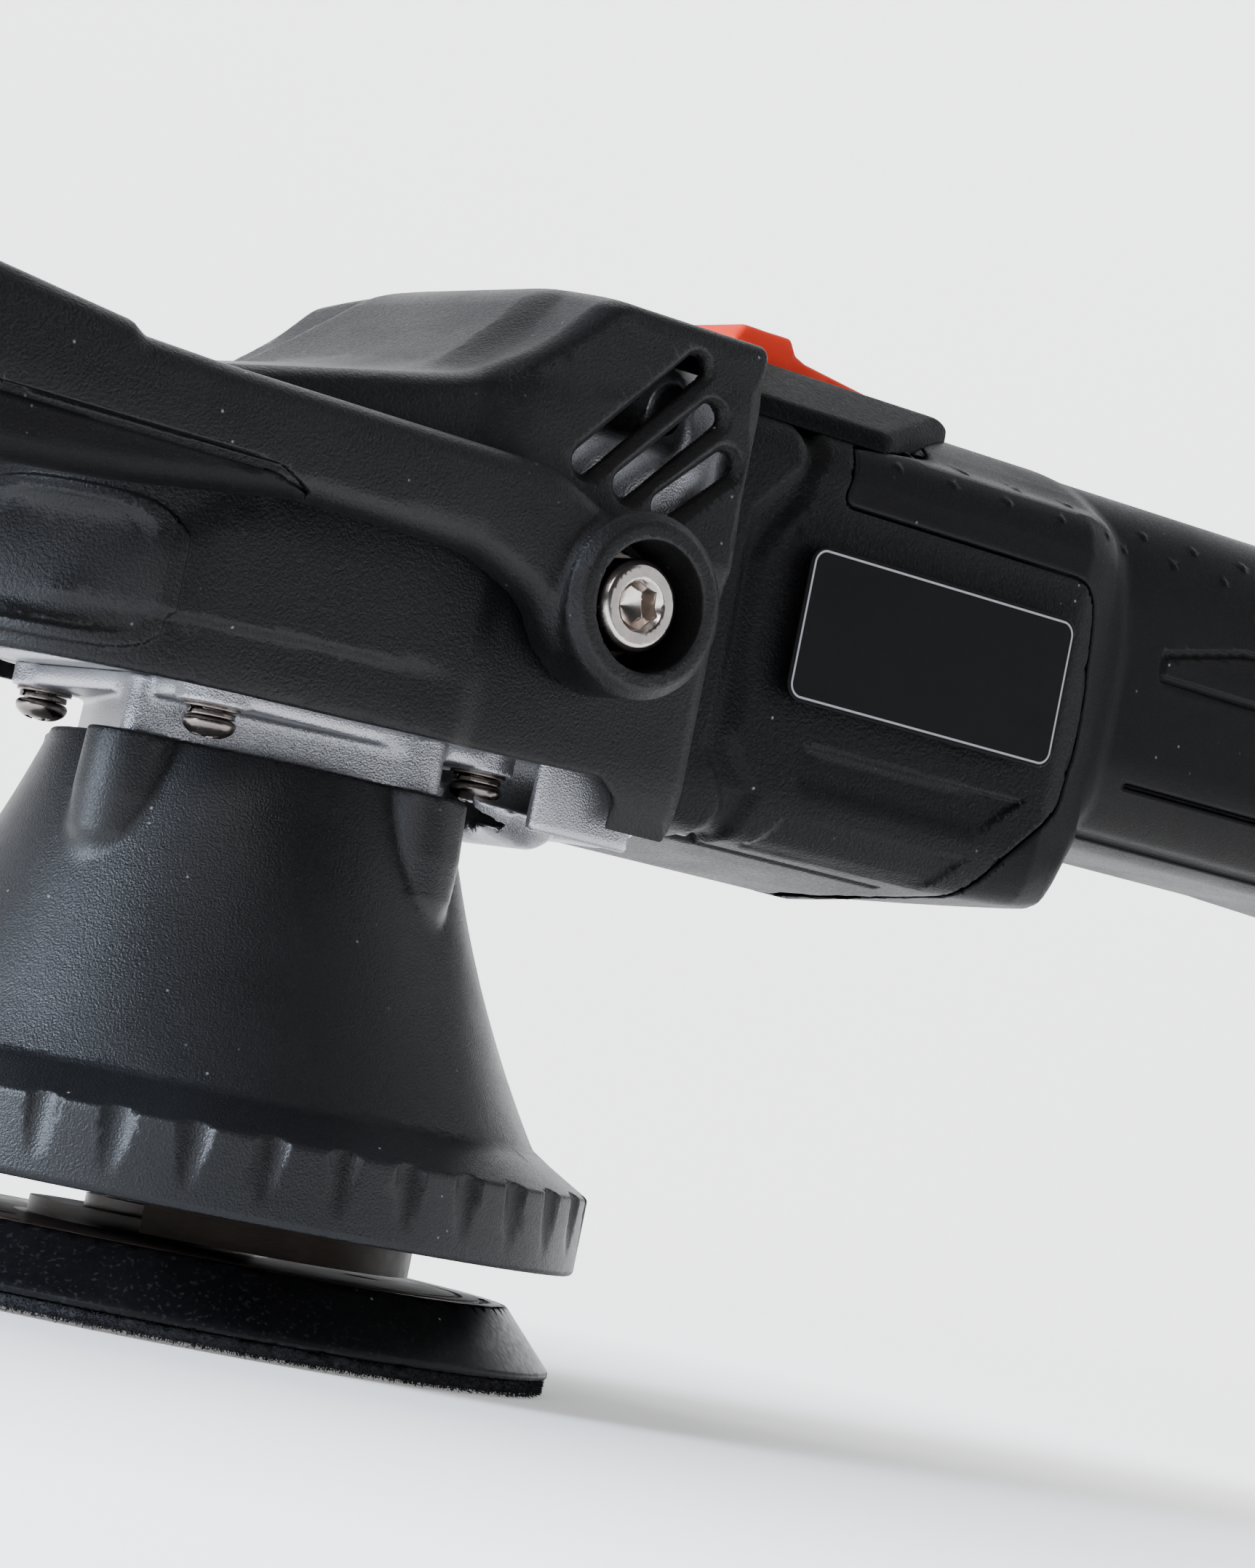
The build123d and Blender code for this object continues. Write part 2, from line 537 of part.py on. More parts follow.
# ------------------------------------------------------------------ motor housing, grip and foot
def housing_form(inset, x_front, x_rear):
    """The housing's outer form, or its cavity when inset is the wall."""
    stations = [
        (x_front, 2 * BARREL_HALF - 1.0, BARREL_BOTTOM_Z - 2.5, BARREL_TOP_Z, 17.0),
        (BARREL_X0 + 20.0, 2 * BARREL_HALF, BARREL_BOTTOM_Z, BARREL_TOP_Z, 17.0),
        (BARREL_END_X, 2 * BARREL_HALF, BARREL_BOTTOM_Z + 0.5, BARREL_TOP_Z - 0.5, 17.0),
        (GRIP_X, 2 * GRIP_HALF, GRIP_BOTTOM_Z, GRIP_TOP_Z, 17.0),
        (GRIP_END_X, 2 * GRIP_HALF, GRIP_BOTTOM_Z - 2.0, GRIP_TOP_Z + 2.0, 17.0),
        (FOOT_X, 2 * FOOT_HALF, FOOT_BOTTOM_Z, FOOT_TOP_Z, 12.0),
        (x_rear, 2 * FOOT_HALF, FOOT_BOTTOM_Z, FOOT_TOP_Z, 12.0),
    ]
    with BuildPart() as form:
        for x, width, low, high, corner in stations:
            with BuildSketch(Plane.YZ.offset(x)):
                with Locations((0, (low + high) / 2)):
                    RectangleRounded(width - 2 * inset, high - low - 2 * inset, corner - inset)
        loft(ruled=True)
    return form.part


DIAL_X = 232.0
DIAL_R = 12.0
DIAL_HALF = 3.2
DIAL_Z = 144.0
housing_posts = [(137.0, 98.0), (172.0, 104.5), (244.0, 103.0), (284.0, 76.0), (284.0, 160.0), (137.0, 138.0)]
housing_outer = housing_form(0.0, BARREL_X0, FOOT_END_X)
housing_cavity = housing_form(HOUSING_WALL, BARREL_X0, FOOT_END_X - HOUSING_WALL)
with BuildPart() as housing:
    add(housing_outer)
    add(housing_cavity, mode=Mode.SUBTRACT)
    for x, z in housing_posts:
        rod("Y", -FOOT_HALF, FOOT_HALF, (x, z), 4.2)
    for y in (-29.0, 29.0):
        for z in (87.0, 145.0):
            rod("X", BARREL_X0, 60.0, (y, z), 5.0)
    add(housing_outer, mode=Mode.INTERSECT)
    for x, z in housing_posts:
        rod("Y", -14.0, 40.0, (x, z), 1.6, Mode.SUBTRACT)
        rod("Y", 22.0, 45.0, (x, z), 3.6, Mode.SUBTRACT)
    for y in (-29.0, 29.0):
        for z in (87.0, 145.0):
            rod("X", BARREL_X0 - 1, 59.0, (y, z), 2.05, Mode.SUBTRACT)
    # Slide switch window, dial window and the rear opening for the battery contacts
    block((66.0, 100.0), (-5.0, 5.0), (150.0, 160.0), Mode.SUBTRACT)
    block((DIAL_X - 13.0, DIAL_X + 13.0), (-DIAL_HALF - 0.8, DIAL_HALF + 0.8), (150.0, 160.0), Mode.SUBTRACT)
    block((FOOT_END_X - 5.0, FOOT_END_X + 1.0), (-20.0, 20.0), (92.0, 124.0), Mode.SUBTRACT)
    # Cooling air inlets in the sides of the foot
    for k in range(4):
        block((279.0, 288.0), (-45.0, 45.0), (98.0 + 9.0 * k, 101.5 + 9.0 * k), Mode.SUBTRACT)

with BuildPart() as motor_housing_left:
    add(housing.part)
    split(bisect_by=Plane.XZ, keep=Keep.TOP)
write(motor_housing_left, "motor_housing_left")

with BuildPart() as motor_housing_right:
    add(housing.part)
    split(bisect_by=Plane.XZ, keep=Keep.BOTTOM)
write(motor_housing_right, "motor_housing_right")

with BuildPart() as housing_screws:
    for x, z in housing_posts:
        rod("Y", -12.0, 22.0, (x, z), 1.5)
        rod("Y", 22.0, 24.6, (x, z), 3.3)
        rod("Y", 23.2, 25.0, (x, z), 1.4, Mode.SUBTRACT)
write(housing_screws, "housing_screws")

# Soft overmould on the grip: a thin sleeve that follows it from barrel to foot
SLEEVE_X0 = 147.0
SLEEVE_X1 = 252.0
SLEEVE_T = 1.6
with BuildPart() as grip_sleeve:
    for x, grow in ((SLEEVE_X0, 0.0), (SLEEVE_X1, 2.0)):
        with BuildSketch(Plane.YZ.offset(x)):
            with Locations((0, (GRIP_BOTTOM_Z + GRIP_TOP_Z) / 2)):
                RectangleRounded(
                    2 * (GRIP_HALF + SLEEVE_T), GRIP_TOP_Z - GRIP_BOTTOM_Z + grow * 2 + 2 * SLEEVE_T, 17.0 + SLEEVE_T
                )
    loft(ruled=True)
    add(housing_outer, mode=Mode.SUBTRACT)
    block((DIAL_X - 15.0, DIAL_X + 15.0), (-8.0, 8.0), (148.0, 165.0), Mode.SUBTRACT)
    for x, z in housing_posts:
        rod("Y", 20.0, 45.0, (x, z), 3.8, Mode.SUBTRACT)
write(grip_sleeve, "grip_sleeve")

with BuildPart() as label_plate:
    with BuildSketch(Plane.XZ.offset(BARREL_HALF)) as label_outline:
        with Locations((89.4, 119.3)):
            RectangleRounded(53.5, 23.6, 2.6)
    extrude(amount=0.4)
write(label_plate, "label_plate")

# ------------------------------------------------------------------ slide switch
SWITCH_TRAVEL = 6.0
with BuildPart() as switch_bezel:
    with BuildSketch(Plane.XZ.offset(-15.0)) as bezel_side:
        Polygon((52.0, 156.2), (110.0, 156.2), (106.0, 158.2), (88.0, 160.4), (52.0, 160.4), align=None)
    extrude(amount=30.0)
    block((57.4, 107.0), (-10.4, 10.4), (157.4, 170.0), Mode.SUBTRACT)
    block((66.0, 100.0), (-5.0, 5.0), (150.0, 160.0), Mode.SUBTRACT)
write(switch_bezel, "switch_bezel")

with BuildPart() as slide_switch:
    with BuildSketch(Plane.XZ.offset(-10.0)) as slider_side:
        Polygon(
            (64.0, 157.8), (106.0, 157.8), (106.0, 158.6), (77.0, 163.2), (75.6, 165.6), (65.5, 165.6), (64.0, 163.4),
            align=None,
        )
    extrude(amount=20.0)
    for k in range(5):
        block((80.0 + 4.6 * k, 81.2 + 4.6 * k), (-11.0, 11.0), (162.2 - 0.74 * k, 166.0), Mode.SUBTRACT)
    block((74.0, 94.0), (-4.0, 4.0), (149.0, 158.0))
write(slide_switch, "slide_switch")

with BuildPart() as switch_link:
    block((76.0, 152.0), (-3.0, 3.0), (147.6, 148.9))
    block((150.0, 152.0), (-3.0, 3.0), (141.0, 148.0))
write(switch_link, "switch_link")

with BuildPart() as switch_module:
    block((154.5, 174.0), (-8.0, 8.0), (128.0, 146.0))
    block((153.0, 154.5), (-2.0, 2.0), (140.0, 144.0))
write(switch_module, "switch_module")

# ------------------------------------------------------------------ controls and electronics in the grip
with BuildPart() as controller_board:
    block((146.0, 222.0), (-17.0, 17.0), (120.0, 121.6))
    for k in range(3):
        block((184.0 + 12.0 * k, 192.0 + 12.0 * k), (-12.0, 12.0), (121.6, 126.0))
write(controller_board, "controller_board")

with BuildPart() as smoothing_capacitors:
    for y in (-8.5, 8.5):
        rod("X", 184.0, 212.0, (y, 112.4), 7.2)
write(smoothing_capacitors, "smoothing_capacitors")

with BuildPart() as speed_dial:
    rod("Y", -DIAL_HALF, DIAL_HALF, (DIAL_X, DIAL_Z), DIAL_R)
    for k in range(30):
        a = radians(12 * k)
        rod("Y", -4, 4, (DIAL_X + DIAL_R * cos(a), DIAL_Z + DIAL_R * sin(a)), 0.5, Mode.SUBTRACT)
    rod("Y", -DIAL_HALF, DIAL_HALF, (DIAL_X, DIAL_Z), 1.8, Mode.SUBTRACT)
write(speed_dial, "speed_dial")

with BuildPart() as dial_potentiometer:
    block((DIAL_X - 8.0, DIAL_X + 8.0), (DIAL_HALF + 1.0, DIAL_HALF + 6.0), (134.0, 150.0))
    rod("Y", -6.0, DIAL_HALF + 1.0, (DIAL_X, DIAL_Z), 1.8 - RUNNING)
write(dial_potentiometer, "dial_potentiometer")

# ------------------------------------------------------------------ battery interface
RAIL_X0 = FOOT_END_X
RAIL_X1 = FOOT_END_X + 6.0
RAIL_HALF = 24.0
with BuildPart() as battery_rail:
    block((RAIL_X0, RAIL_X0 + 3.0), (-RAIL_HALF + 4, RAIL_HALF - 4), (70.0, 160.0))
    block((RAIL_X0 + 3.0, RAIL_X1), (-RAIL_HALF, RAIL_HALF), (70.0, 160.0))
    block((RAIL_X0 - 1, RAIL_X1 + 1), (-15.0, 15.0), (92.0, 124.0), Mode.SUBTRACT)
    block((RAIL_X0 + 2.9, RAIL_X1 + 1), (-17.0, 17.0), (124.0, 161.0), Mode.SUBTRACT)
write(battery_rail, "battery_rail")

with BuildPart() as terminal_block:
    block((FOOT_END_X - 12.0, RAIL_X0 + 3.0), (-14.0, 14.0), (93.0, 123.0))
write(terminal_block, "terminal_block")

with BuildPart() as terminal_blades:
    for y in (-10.0, -5.0, 0.0, 5.0, 10.0):
        block((RAIL_X0 + 3.0, RAIL_X0 + 9.0), (y - 0.4, y + 0.4), (98.0, 118.0))
write(terminal_blades, "terminal_blades")

# ------------------------------------------------------------------ battery pack
PACK_X0 = FOOT_END_X + 0.5
PACK_X1 = 360.0
PACK_HALF = 37.0
PACK_Z0 = 62.0
PACK_Z1 = 174.0
PACK_SPLIT_X = 330.0
PACK_WALL = 2.4
BUTTON_X = (316.0, 327.0)
BUTTON_Z = (140.0, 162.0)
BUTTON_CENTRE = (321.5, 151.0)


def pack_form(inset, x0, x1):
    """The pack's rounded block between two stations along X."""
    with BuildPart() as form:
        with BuildSketch(Plane.YZ.offset(x0)):
            with Locations((0, (PACK_Z0 + PACK_Z1) / 2)):
                RectangleRounded(2 * (PACK_HALF - inset), PACK_Z1 - PACK_Z0 - 2 * inset, 11.0 - inset)
        extrude(amount=x1 - x0)
    return form.part


with BuildPart() as battery_shell_front:
    add(pack_form(0.0, PACK_X0, PACK_SPLIT_X))
    add(pack_form(PACK_WALL, RAIL_X1 + 6.0, PACK_SPLIT_X), mode=Mode.SUBTRACT)
    # Channel for the T-shaped rail, open at the bottom so that the pack lifts off upwards
    block((PACK_X0 - 1, RAIL_X0 + 3.0 - CLEAR), (-RAIL_HALF + 4 - CLEAR, RAIL_HALF - 4 + CLEAR),
          (PACK_Z0 - 1, 160.0 + CLEAR), Mode.SUBTRACT)
    block((RAIL_X0 + 3.0 - CLEAR, RAIL_X1 + CLEAR), (-RAIL_HALF - CLEAR, RAIL_HALF + CLEAR),
          (PACK_Z0 - 1, 160.0 + CLEAR), Mode.SUBTRACT)
    block((RAIL_X0 + 5.0, RAIL_X0 + 10.0), (-13.0, 13.0), (PACK_Z0 - 1, 119.0), Mode.SUBTRACT)
    for side in (-1, 1):
        block(
            (BUTTON_X[0] - 0.3, BUTTON_X[1] + 0.3), spread(side, 32.0, 41.0), (BUTTON_Z[0] - 0.3, BUTTON_Z[1] + 0.3),
            Mode.SUBTRACT,
        )
write(battery_shell_front, "battery_shell_front")

with BuildPart() as battery_shell_rear:
    add(pack_form(0.0, PACK_SPLIT_X, PACK_X1))
    fillet(battery_shell_rear.edges().group_by(Axis.X)[-1], radius=6.0)
    add(pack_form(PACK_WALL, PACK_SPLIT_X, PACK_X1 - PACK_WALL), mode=Mode.SUBTRACT)
    block((PACK_X1 - 4.0, PACK_X1 + 1.0), (-3.2, 3.2), (142.0, 148.4), Mode.SUBTRACT)
write(battery_shell_rear, "battery_shell_rear")

CELL_R = 9.1
with BuildPart() as battery_cells:
    for x in (322.0, 343.0):
        for k in range(5):
            rod("Y", -32.5, 32.5, (x, PACK_Z0 + 16.0 + 20.0 * k), CELL_R)
    for k in range(5):
        block((312.0, 352.5), (-33.1, -32.5), (PACK_Z0 + 12.0 + 20.0 * k, PACK_Z0 + 20.0 + 20.0 * k))
write(battery_cells, "battery_cells")

with BuildPart() as battery_terminals:
    for y in (-10.0, -5.0, 0.0, 5.0, 10.0):
        block((RAIL_X0 + 5.0, RAIL_X0 + 9.6), (y - 1.5, y + 1.5), (103.0, 114.0))
        block((RAIL_X0 + 4.0, RAIL_X0 + 9.2), (y - 0.7, y + 0.7), (102.0, 119.0), Mode.SUBTRACT)
write(battery_terminals, "battery_terminals")

for side, name in ((-1, "release_button_left"), (1, "release_button_right")):
    with BuildPart() as release_button:
        block(BUTTON_X, spread(side, 35.0, 37.6), BUTTON_Z)
        rod("Y", side * 35.0, side * 37.0, BUTTON_CENTRE, 2.7, Mode.SUBTRACT)
    write(release_button, name)

with BuildPart() as release_springs:
    for side in (-1, 1):
        rod("Y", side * 33.2, side * 35.4, BUTTON_CENTRE, 2.4)
        rod("Y", side * 33.2, side * 35.4, BUTTON_CENTRE, 1.7, Mode.SUBTRACT)
write(release_springs, "release_springs")

with BuildPart() as gauge_button:
    block((PACK_X1 - 3.4, PACK_X1 + 0.5), (-3.0, 3.0), (142.2, 148.2))
write(gauge_button, "gauge_button")

with BuildPart() as gauge_window:
    block((PACK_X1, PACK_X1 + 0.4), (-11.0, 11.0), (151.0, 156.0))
write(gauge_window, "gauge_window")


# ------------------------------------------------------------------ head cover
def cover_form(inset, x_rear, low_front):
    """The cover's outer form, or its cavity when inset is the wall."""
    half = COVER_HALF - inset
    front = COVER_FRONT_X + inset
    top = COVER_TOP_Z - inset
    with BuildPart() as shoulders:
        with BuildSketch(Plane.YZ.offset(-70.0)):
            Polygon(
                (-half, 60.0), (half, 60.0), (half, 131.0), (20.0, 153.0 - inset), (-20.0, 153.0 - inset),
                (-half, 131.0), align=None,
            )
        extrude(amount=78.0)
        with BuildSketch(Plane.YZ.offset(8.0)):
            Polygon(
                (-half, 60.0), (half, 60.0), (half, 152.0), (32.0 - inset, top), (-32.0 + inset, top), (-half, 152.0),
                align=None,
            )
        extrude(amount=60.0)
    with BuildPart() as form:
        with BuildSketch(Plane.XY.offset(60.0)):
            with BuildLine():
                Polyline((front, 14.0), (front, -14.0))
                ThreePointArc((front, -14.0), (-51.0 + 0.7 * inset, -31.0 + 0.7 * inset), (-30.0, -half))
                Polyline((-30.0, -half), (x_rear, -half), (x_rear, half), (-30.0, half))
                ThreePointArc((-30.0, half), (-51.0 + 0.7 * inset, 31.0 - 0.7 * inset), (front, 14.0))
            make_face()
        extrude(amount=110.0)
        with BuildSketch(Plane.XZ.offset(-60.0)):
            Polygon(
                (front, low_front), (33.5, low_front), (35.5, COVER_SKIRT_Z + inset), (x_rear, COVER_SKIRT_Z + inset),
                (x_rear, top), (32.0, top), (-10.0, top - 9.5), (-36.0, top - 25.0), (front, top - 32.0), align=None,
            )
        extrude(amount=120.0, mode=Mode.INTERSECT)
        add(shoulders.part, mode=Mode.INTERSECT)
    return form.part


cover_outer = cover_form(0.0, SEAM_X, COVER_EDGE_Z)
cover_cavity = cover_form(COVER_WALL, SEAM_X, 60.0)
VENT_R = 1.9
vents = [((27.5, 141.8), 23.9, 47.9), ((33.5, 137.9), 18.0, 46.6), ((39.2, 134.0), 12.2, 43.0)]
with BuildPart() as head_cover:
    add(cover_outer)
    add(cover_cavity, mode=Mode.SUBTRACT)
    with BuildSketch(Plane.XZ.offset(-60.0)) as vent_slots:
        for centre, length, angle in vents:
            with Locations(centre):
                SlotCenterToCenter(length, 2 * VENT_R, rotation=angle)
    extrude(amount=120.0, mode=Mode.SUBTRACT)
    rod("Y", -50, 50, (BOLT_X, BOLT_Z), BOLT_PAD_R + 0.3, Mode.SUBTRACT)
write(head_cover, "head_cover")

# ------------------------------------------------------------------ bail handle
ARM_IN = 41.6
ARM_OUT = 50.6
RING_FACE = 54.0
RING_R = 13.4
HEAD_R = 6.5
HEAD_H = 8.0
CUP_R = 9.4
CUP_FLOOR = RING_FACE - 3.4 - HEAD_H
HANDLE_FRONT_X = -122.0
HANDLE_BAR = 26.0
with BuildPart() as handle_frame:
    with BuildSketch(Plane.XZ.offset(-ARM_OUT)) as arm_side:
        with BuildLine():
            Polyline((BOLT_X - 6.0, 102.0), (0.0, 113.0), (-30.0, 115.0), (-58.0, 112.0), (-74.0, 112.0))
            Polyline((-74.0, 112.0), (HANDLE_FRONT_X + 4, 112.0), (HANDLE_FRONT_X + 4, 130.0), (-74.0, 130.0))
            Polyline((-74.0, 130.0), (-58.0, 131.0), (-24.0, 131.5), (10.0, 130.0), (BOLT_X, 126.0), (BOLT_X - 6.0, 102.0))
        make_face()
    extrude(amount=2 * ARM_OUT)
    block((HANDLE_FRONT_X + HANDLE_BAR - 4, 60.0), (-ARM_IN, ARM_IN), (90.0, 150.0), Mode.SUBTRACT)
    fillet(handle_frame.edges().filter_by(Axis.Z).group_by(Axis.X)[0], radius=18.0)
    for side in (-1, 1):
        rod("Y", side * ARM_IN, side * RING_FACE, (BOLT_X, BOLT_Z), RING_R)
        rod("Y", side * CUP_FLOOR, side * (RING_FACE + 1), (BOLT_X, BOLT_Z), CUP_R, Mode.SUBTRACT)
        rod("Y", side * 30.0, side * RING_FACE, (BOLT_X, BOLT_Z), 4.05, Mode.SUBTRACT)
write(handle_frame, "handle_frame")

GRIP_REAR_X = -70.0
GRIP_OUT = ARM_OUT + 4.0
GRIP_IN = ARM_IN - 1.2
with BuildPart() as handle_grip:
    with BuildSketch(Plane.XY.offset(108.0)) as grip_plan:
        with Locations(((HANDLE_FRONT_X + GRIP_REAR_X) / 2, 0)):
            Rectangle(GRIP_REAR_X - HANDLE_FRONT_X, 2 * GRIP_OUT)
        fillet(grip_plan.vertices().group_by(Axis.X)[0], radius=24.0)
        with Locations((GRIP_REAR_X, 0)):
            RectangleRounded(2 * (GRIP_REAR_X - HANDLE_FRONT_X - HANDLE_BAR), 2 * GRIP_IN, 8.0, mode=Mode.SUBTRACT)
    extrude(amount=26.0)
    add(handle_frame.part, mode=Mode.SUBTRACT)
write(handle_grip, "handle_grip")

with BuildPart() as handle_bolts:
    for side in (-1, 1):
        rod("Y", side * 30.0, side * (CUP_FLOOR + 1.0), (BOLT_X, BOLT_Z), 3.95)
        rod("Y", side * (CUP_FLOOR + 1.0), side * (CUP_FLOOR + 1.0 + HEAD_H), (BOLT_X, BOLT_Z), HEAD_R)
        with BuildSketch(Plane.XZ.offset(-side * (CUP_FLOOR + 1.0 + HEAD_H))) as socket:
            with Locations((BOLT_X, BOLT_Z)):
                RegularPolygon(3.46, 6)
        extrude(amount=side * 4.0, mode=Mode.SUBTRACT)
write(handle_bolts, "handle_bolts")

with BuildPart() as handle_washers:
    for side in (-1, 1):
        rod("Y", side * CUP_FLOOR, side * (CUP_FLOOR + 1.0), (BOLT_X, BOLT_Z), 8.0)
        rod("Y", side * CUP_FLOOR, side * (CUP_FLOOR + 1.0), (BOLT_X, BOLT_Z), 4.05, Mode.SUBTRACT)
write(handle_washers, "handle_washers")
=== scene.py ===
"""Looks for a cordless dual action polisher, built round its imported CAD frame.

The frame is in metres. The moulded and cast pieces are signed distance fields in millimetres, with the
frame's axes: +Z up the spindle, -X towards the nose, +X towards the battery and -Y the left side. A field is
negative inside its piece. Each field is meshed once with OpenVDB and its points are then moved onto the exact
surface.
"""
from math import atan2, cos, hypot, pi, radians, sin, tan
import bmesh
import bpy
import json
import numpy as np
import openvdb
from mathutils import Matrix, Vector


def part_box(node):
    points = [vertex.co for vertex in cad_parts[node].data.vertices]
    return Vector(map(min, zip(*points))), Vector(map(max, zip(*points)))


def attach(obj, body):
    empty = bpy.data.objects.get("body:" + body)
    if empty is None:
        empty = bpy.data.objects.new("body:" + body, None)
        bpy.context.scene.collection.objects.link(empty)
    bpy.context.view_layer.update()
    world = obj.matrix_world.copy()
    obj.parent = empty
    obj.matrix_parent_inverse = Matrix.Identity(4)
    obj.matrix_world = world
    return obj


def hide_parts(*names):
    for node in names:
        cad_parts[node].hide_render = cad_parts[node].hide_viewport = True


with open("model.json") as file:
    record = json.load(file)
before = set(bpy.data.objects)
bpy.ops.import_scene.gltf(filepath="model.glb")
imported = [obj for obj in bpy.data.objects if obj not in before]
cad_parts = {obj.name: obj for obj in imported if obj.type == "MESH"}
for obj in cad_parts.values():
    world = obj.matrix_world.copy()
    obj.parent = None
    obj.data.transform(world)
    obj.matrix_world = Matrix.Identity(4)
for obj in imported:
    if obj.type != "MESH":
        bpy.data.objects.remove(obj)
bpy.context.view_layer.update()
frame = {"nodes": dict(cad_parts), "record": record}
MM = 0.001


# ------------------------------------------------------------------ field arithmetic
def both(a, b, r=0.0):
    """What two forms share, with a round edge of radius r where they meet."""
    if r == 0:
        return np.maximum(a, b)
    return np.minimum(np.maximum(a, b), -r) + np.hypot(np.maximum(a + r, 0), np.maximum(b + r, 0))


def joined(a, b, r=0.0):
    """Two forms together, with a fillet of radius r where they meet."""
    return -both(-a, -b, r)


def without(a, b, r=0.0):
    """The first form with the second cut out of it."""
    return both(a, -b, r)


def between(v, low, high):
    """The stretch from low to high along one axis."""
    return np.abs(v - (low + high) / 2) - (high - low) / 2


def brick(x, y, z, spans, r=0.0):
    """A box given by its three (low, high) spans, with round edges."""
    flat = both(between(x, *spans[0]), between(y, *spans[1]), r)
    return both(flat, between(z, *spans[2]), r)


def line(u, v, start, end):
    """Distance from the line through two points; negative on its right-hand side."""
    run, rise = end[0] - start[0], end[1] - start[1]
    return (run * (v - start[1]) - rise * (u - start[0])) / hypot(run, rise)


def polygon(u, v, points):
    """Signed distance to a closed outline, convex or not."""
    nearest = np.full(np.broadcast(u, v).shape, 1e9)
    inside = np.zeros(nearest.shape, bool)
    for (u0, v0), (u1, v1) in zip(points, points[1:] + points[:1]):
        run, rise = u1 - u0, v1 - v0
        t = np.clip(((u - u0) * run + (v - v0) * rise) / (run * run + rise * rise), 0, 1)
        nearest = np.minimum(nearest, np.hypot(u - u0 - t * run, v - v0 - t * rise))
        if rise != 0:
            crosses = ((v0 > v) != (v1 > v)) & (u < run * (v - v0) / rise + u0)
            inside = inside ^ crosses
    return np.where(inside, -nearest, nearest)


def rounded(points, r, steps=5):
    """The outline with each corner replaced by an arc of radius r, or by one that fits its sides."""
    out = []
    for k, here in enumerate(points):
        radius = r[k] if isinstance(r, (list, tuple)) else r
        here = Vector(here)
        back = Vector(points[k - 1]) - here
        on = Vector(points[(k + 1) % len(points)]) - here
        half = back.angle(on) / 2
        reach = min(radius / tan(half), 0.49 * min(back.length, on.length)) if radius else 0
        if reach < 0.05:
            out.append(tuple(here))
            continue
        radius = reach * tan(half)
        middle = here + (back.normalized() + on.normalized()).normalized() * (radius / sin(half))
        first = here + back.normalized() * reach - middle
        last = here + on.normalized() * reach - middle
        turn = atan2(first.x * last.y - first.y * last.x, first.dot(last))
        out += [tuple(middle + Matrix.Rotation(turn * s / steps, 2) @ first) for s in range(steps + 1)]
    return out


def stadium(u, v, start, end, r):
    """A slot with round ends between two centres."""
    run, rise = end[0] - start[0], end[1] - start[1]
    t = np.clip(((u - start[0]) * run + (v - start[1]) * rise) / (run * run + rise * rise), 0, 1)
    return np.hypot(u - start[0] - t * run, v - start[1] - t * rise) - r


def folded(x, y, count, first=0.0):
    """Radius and sideways distance from the nearest of count evenly spaced rays about the spindle axis."""
    step = 2 * pi / count
    angle = np.arctan2(y, x) - radians(first)
    angle = angle - step * np.round(angle / step)
    radius = np.hypot(x, y)
    return radius * np.cos(angle), radius * np.sin(angle)


def ease(v, low, high):
    """0 below low and 1 above high, with a smooth rise between."""
    t = np.clip((v - low) / (high - low), 0, 1)
    return t * t * (3 - 2 * t)


def dent(form, region, depth, width=0.8):
    """The form sunk by depth inside a region, over an edge of the given width; a negative depth raises it."""
    return form + depth * (1 - ease(region, -width, 0))


# ------------------------------------------------------------------ meshing
CORNERS = np.array([(1, -1, -1), (-1, -1, 1), (-1, 1, -1), (1, 1, 1)], float)
PROBE = 0.03


def probe(field, p):
    """The field's value and gradient at points, from its values at the corners of a small tetrahedron."""
    values = np.array([field(*(p + PROBE * corner).T) for corner in CORNERS])
    return values.mean(0), values.T @ CORNERS / (4 * PROBE)


def mesh_of(name, points, faces, normals=None):
    """An object from points in millimetres."""
    mesh = bpy.data.meshes.new(name)
    mesh.from_pydata((np.asarray(points, float) * MM).tolist(), [], faces)
    mesh.validate()
    mesh.update()
    mesh.polygons.foreach_set("use_smooth", [True] * len(mesh.polygons))
    if normals is not None and len(normals) == len(mesh.vertices):
        mesh.normals_split_custom_set_from_vertices(np.asarray(normals).tolist())
    piece = bpy.data.objects.new(name, mesh)
    bpy.context.scene.collection.objects.link(piece)
    return piece


BLOCK = 8


def sampled(field, low, counts, step):
    """The field on a grid, worked out only in the blocks that its surface can pass through."""
    blocks = -(-counts // BLOCK)
    values = np.empty(blocks * BLOCK, np.float32)
    tiles = values.reshape(blocks[0], BLOCK, blocks[1], BLOCK, blocks[2], BLOCK)
    middle = [low[k] + step * (BLOCK * np.arange(blocks[k]) + (BLOCK - 1) / 2) for k in range(3)]
    coarse = field(middle[0][:, None, None], middle[1][None, :, None], middle[2][None, None, :])
    coarse = np.broadcast_to(coarse, blocks)
    tiles[:] = np.where(coarse > 0, 3 * step, -3 * step)[:, None, :, None, :, None]
    near = np.argwhere(np.abs(coarse) < 1.35 * BLOCK * step)
    for part in np.array_split(near, max(1, len(near) // 48)):
        x, y, z = (low[k] + step * (BLOCK * part[:, k, None] + np.arange(BLOCK)) for k in range(3))
        block = field(x[:, :, None, None], y[:, None, :, None], z[:, None, None, :])
        block = np.broadcast_to(block, (len(part), BLOCK, BLOCK, BLOCK))
        tiles[part[:, 0], :, part[:, 1], :, part[:, 2], :] = np.clip(block, -3 * step, 3 * step)
    return values


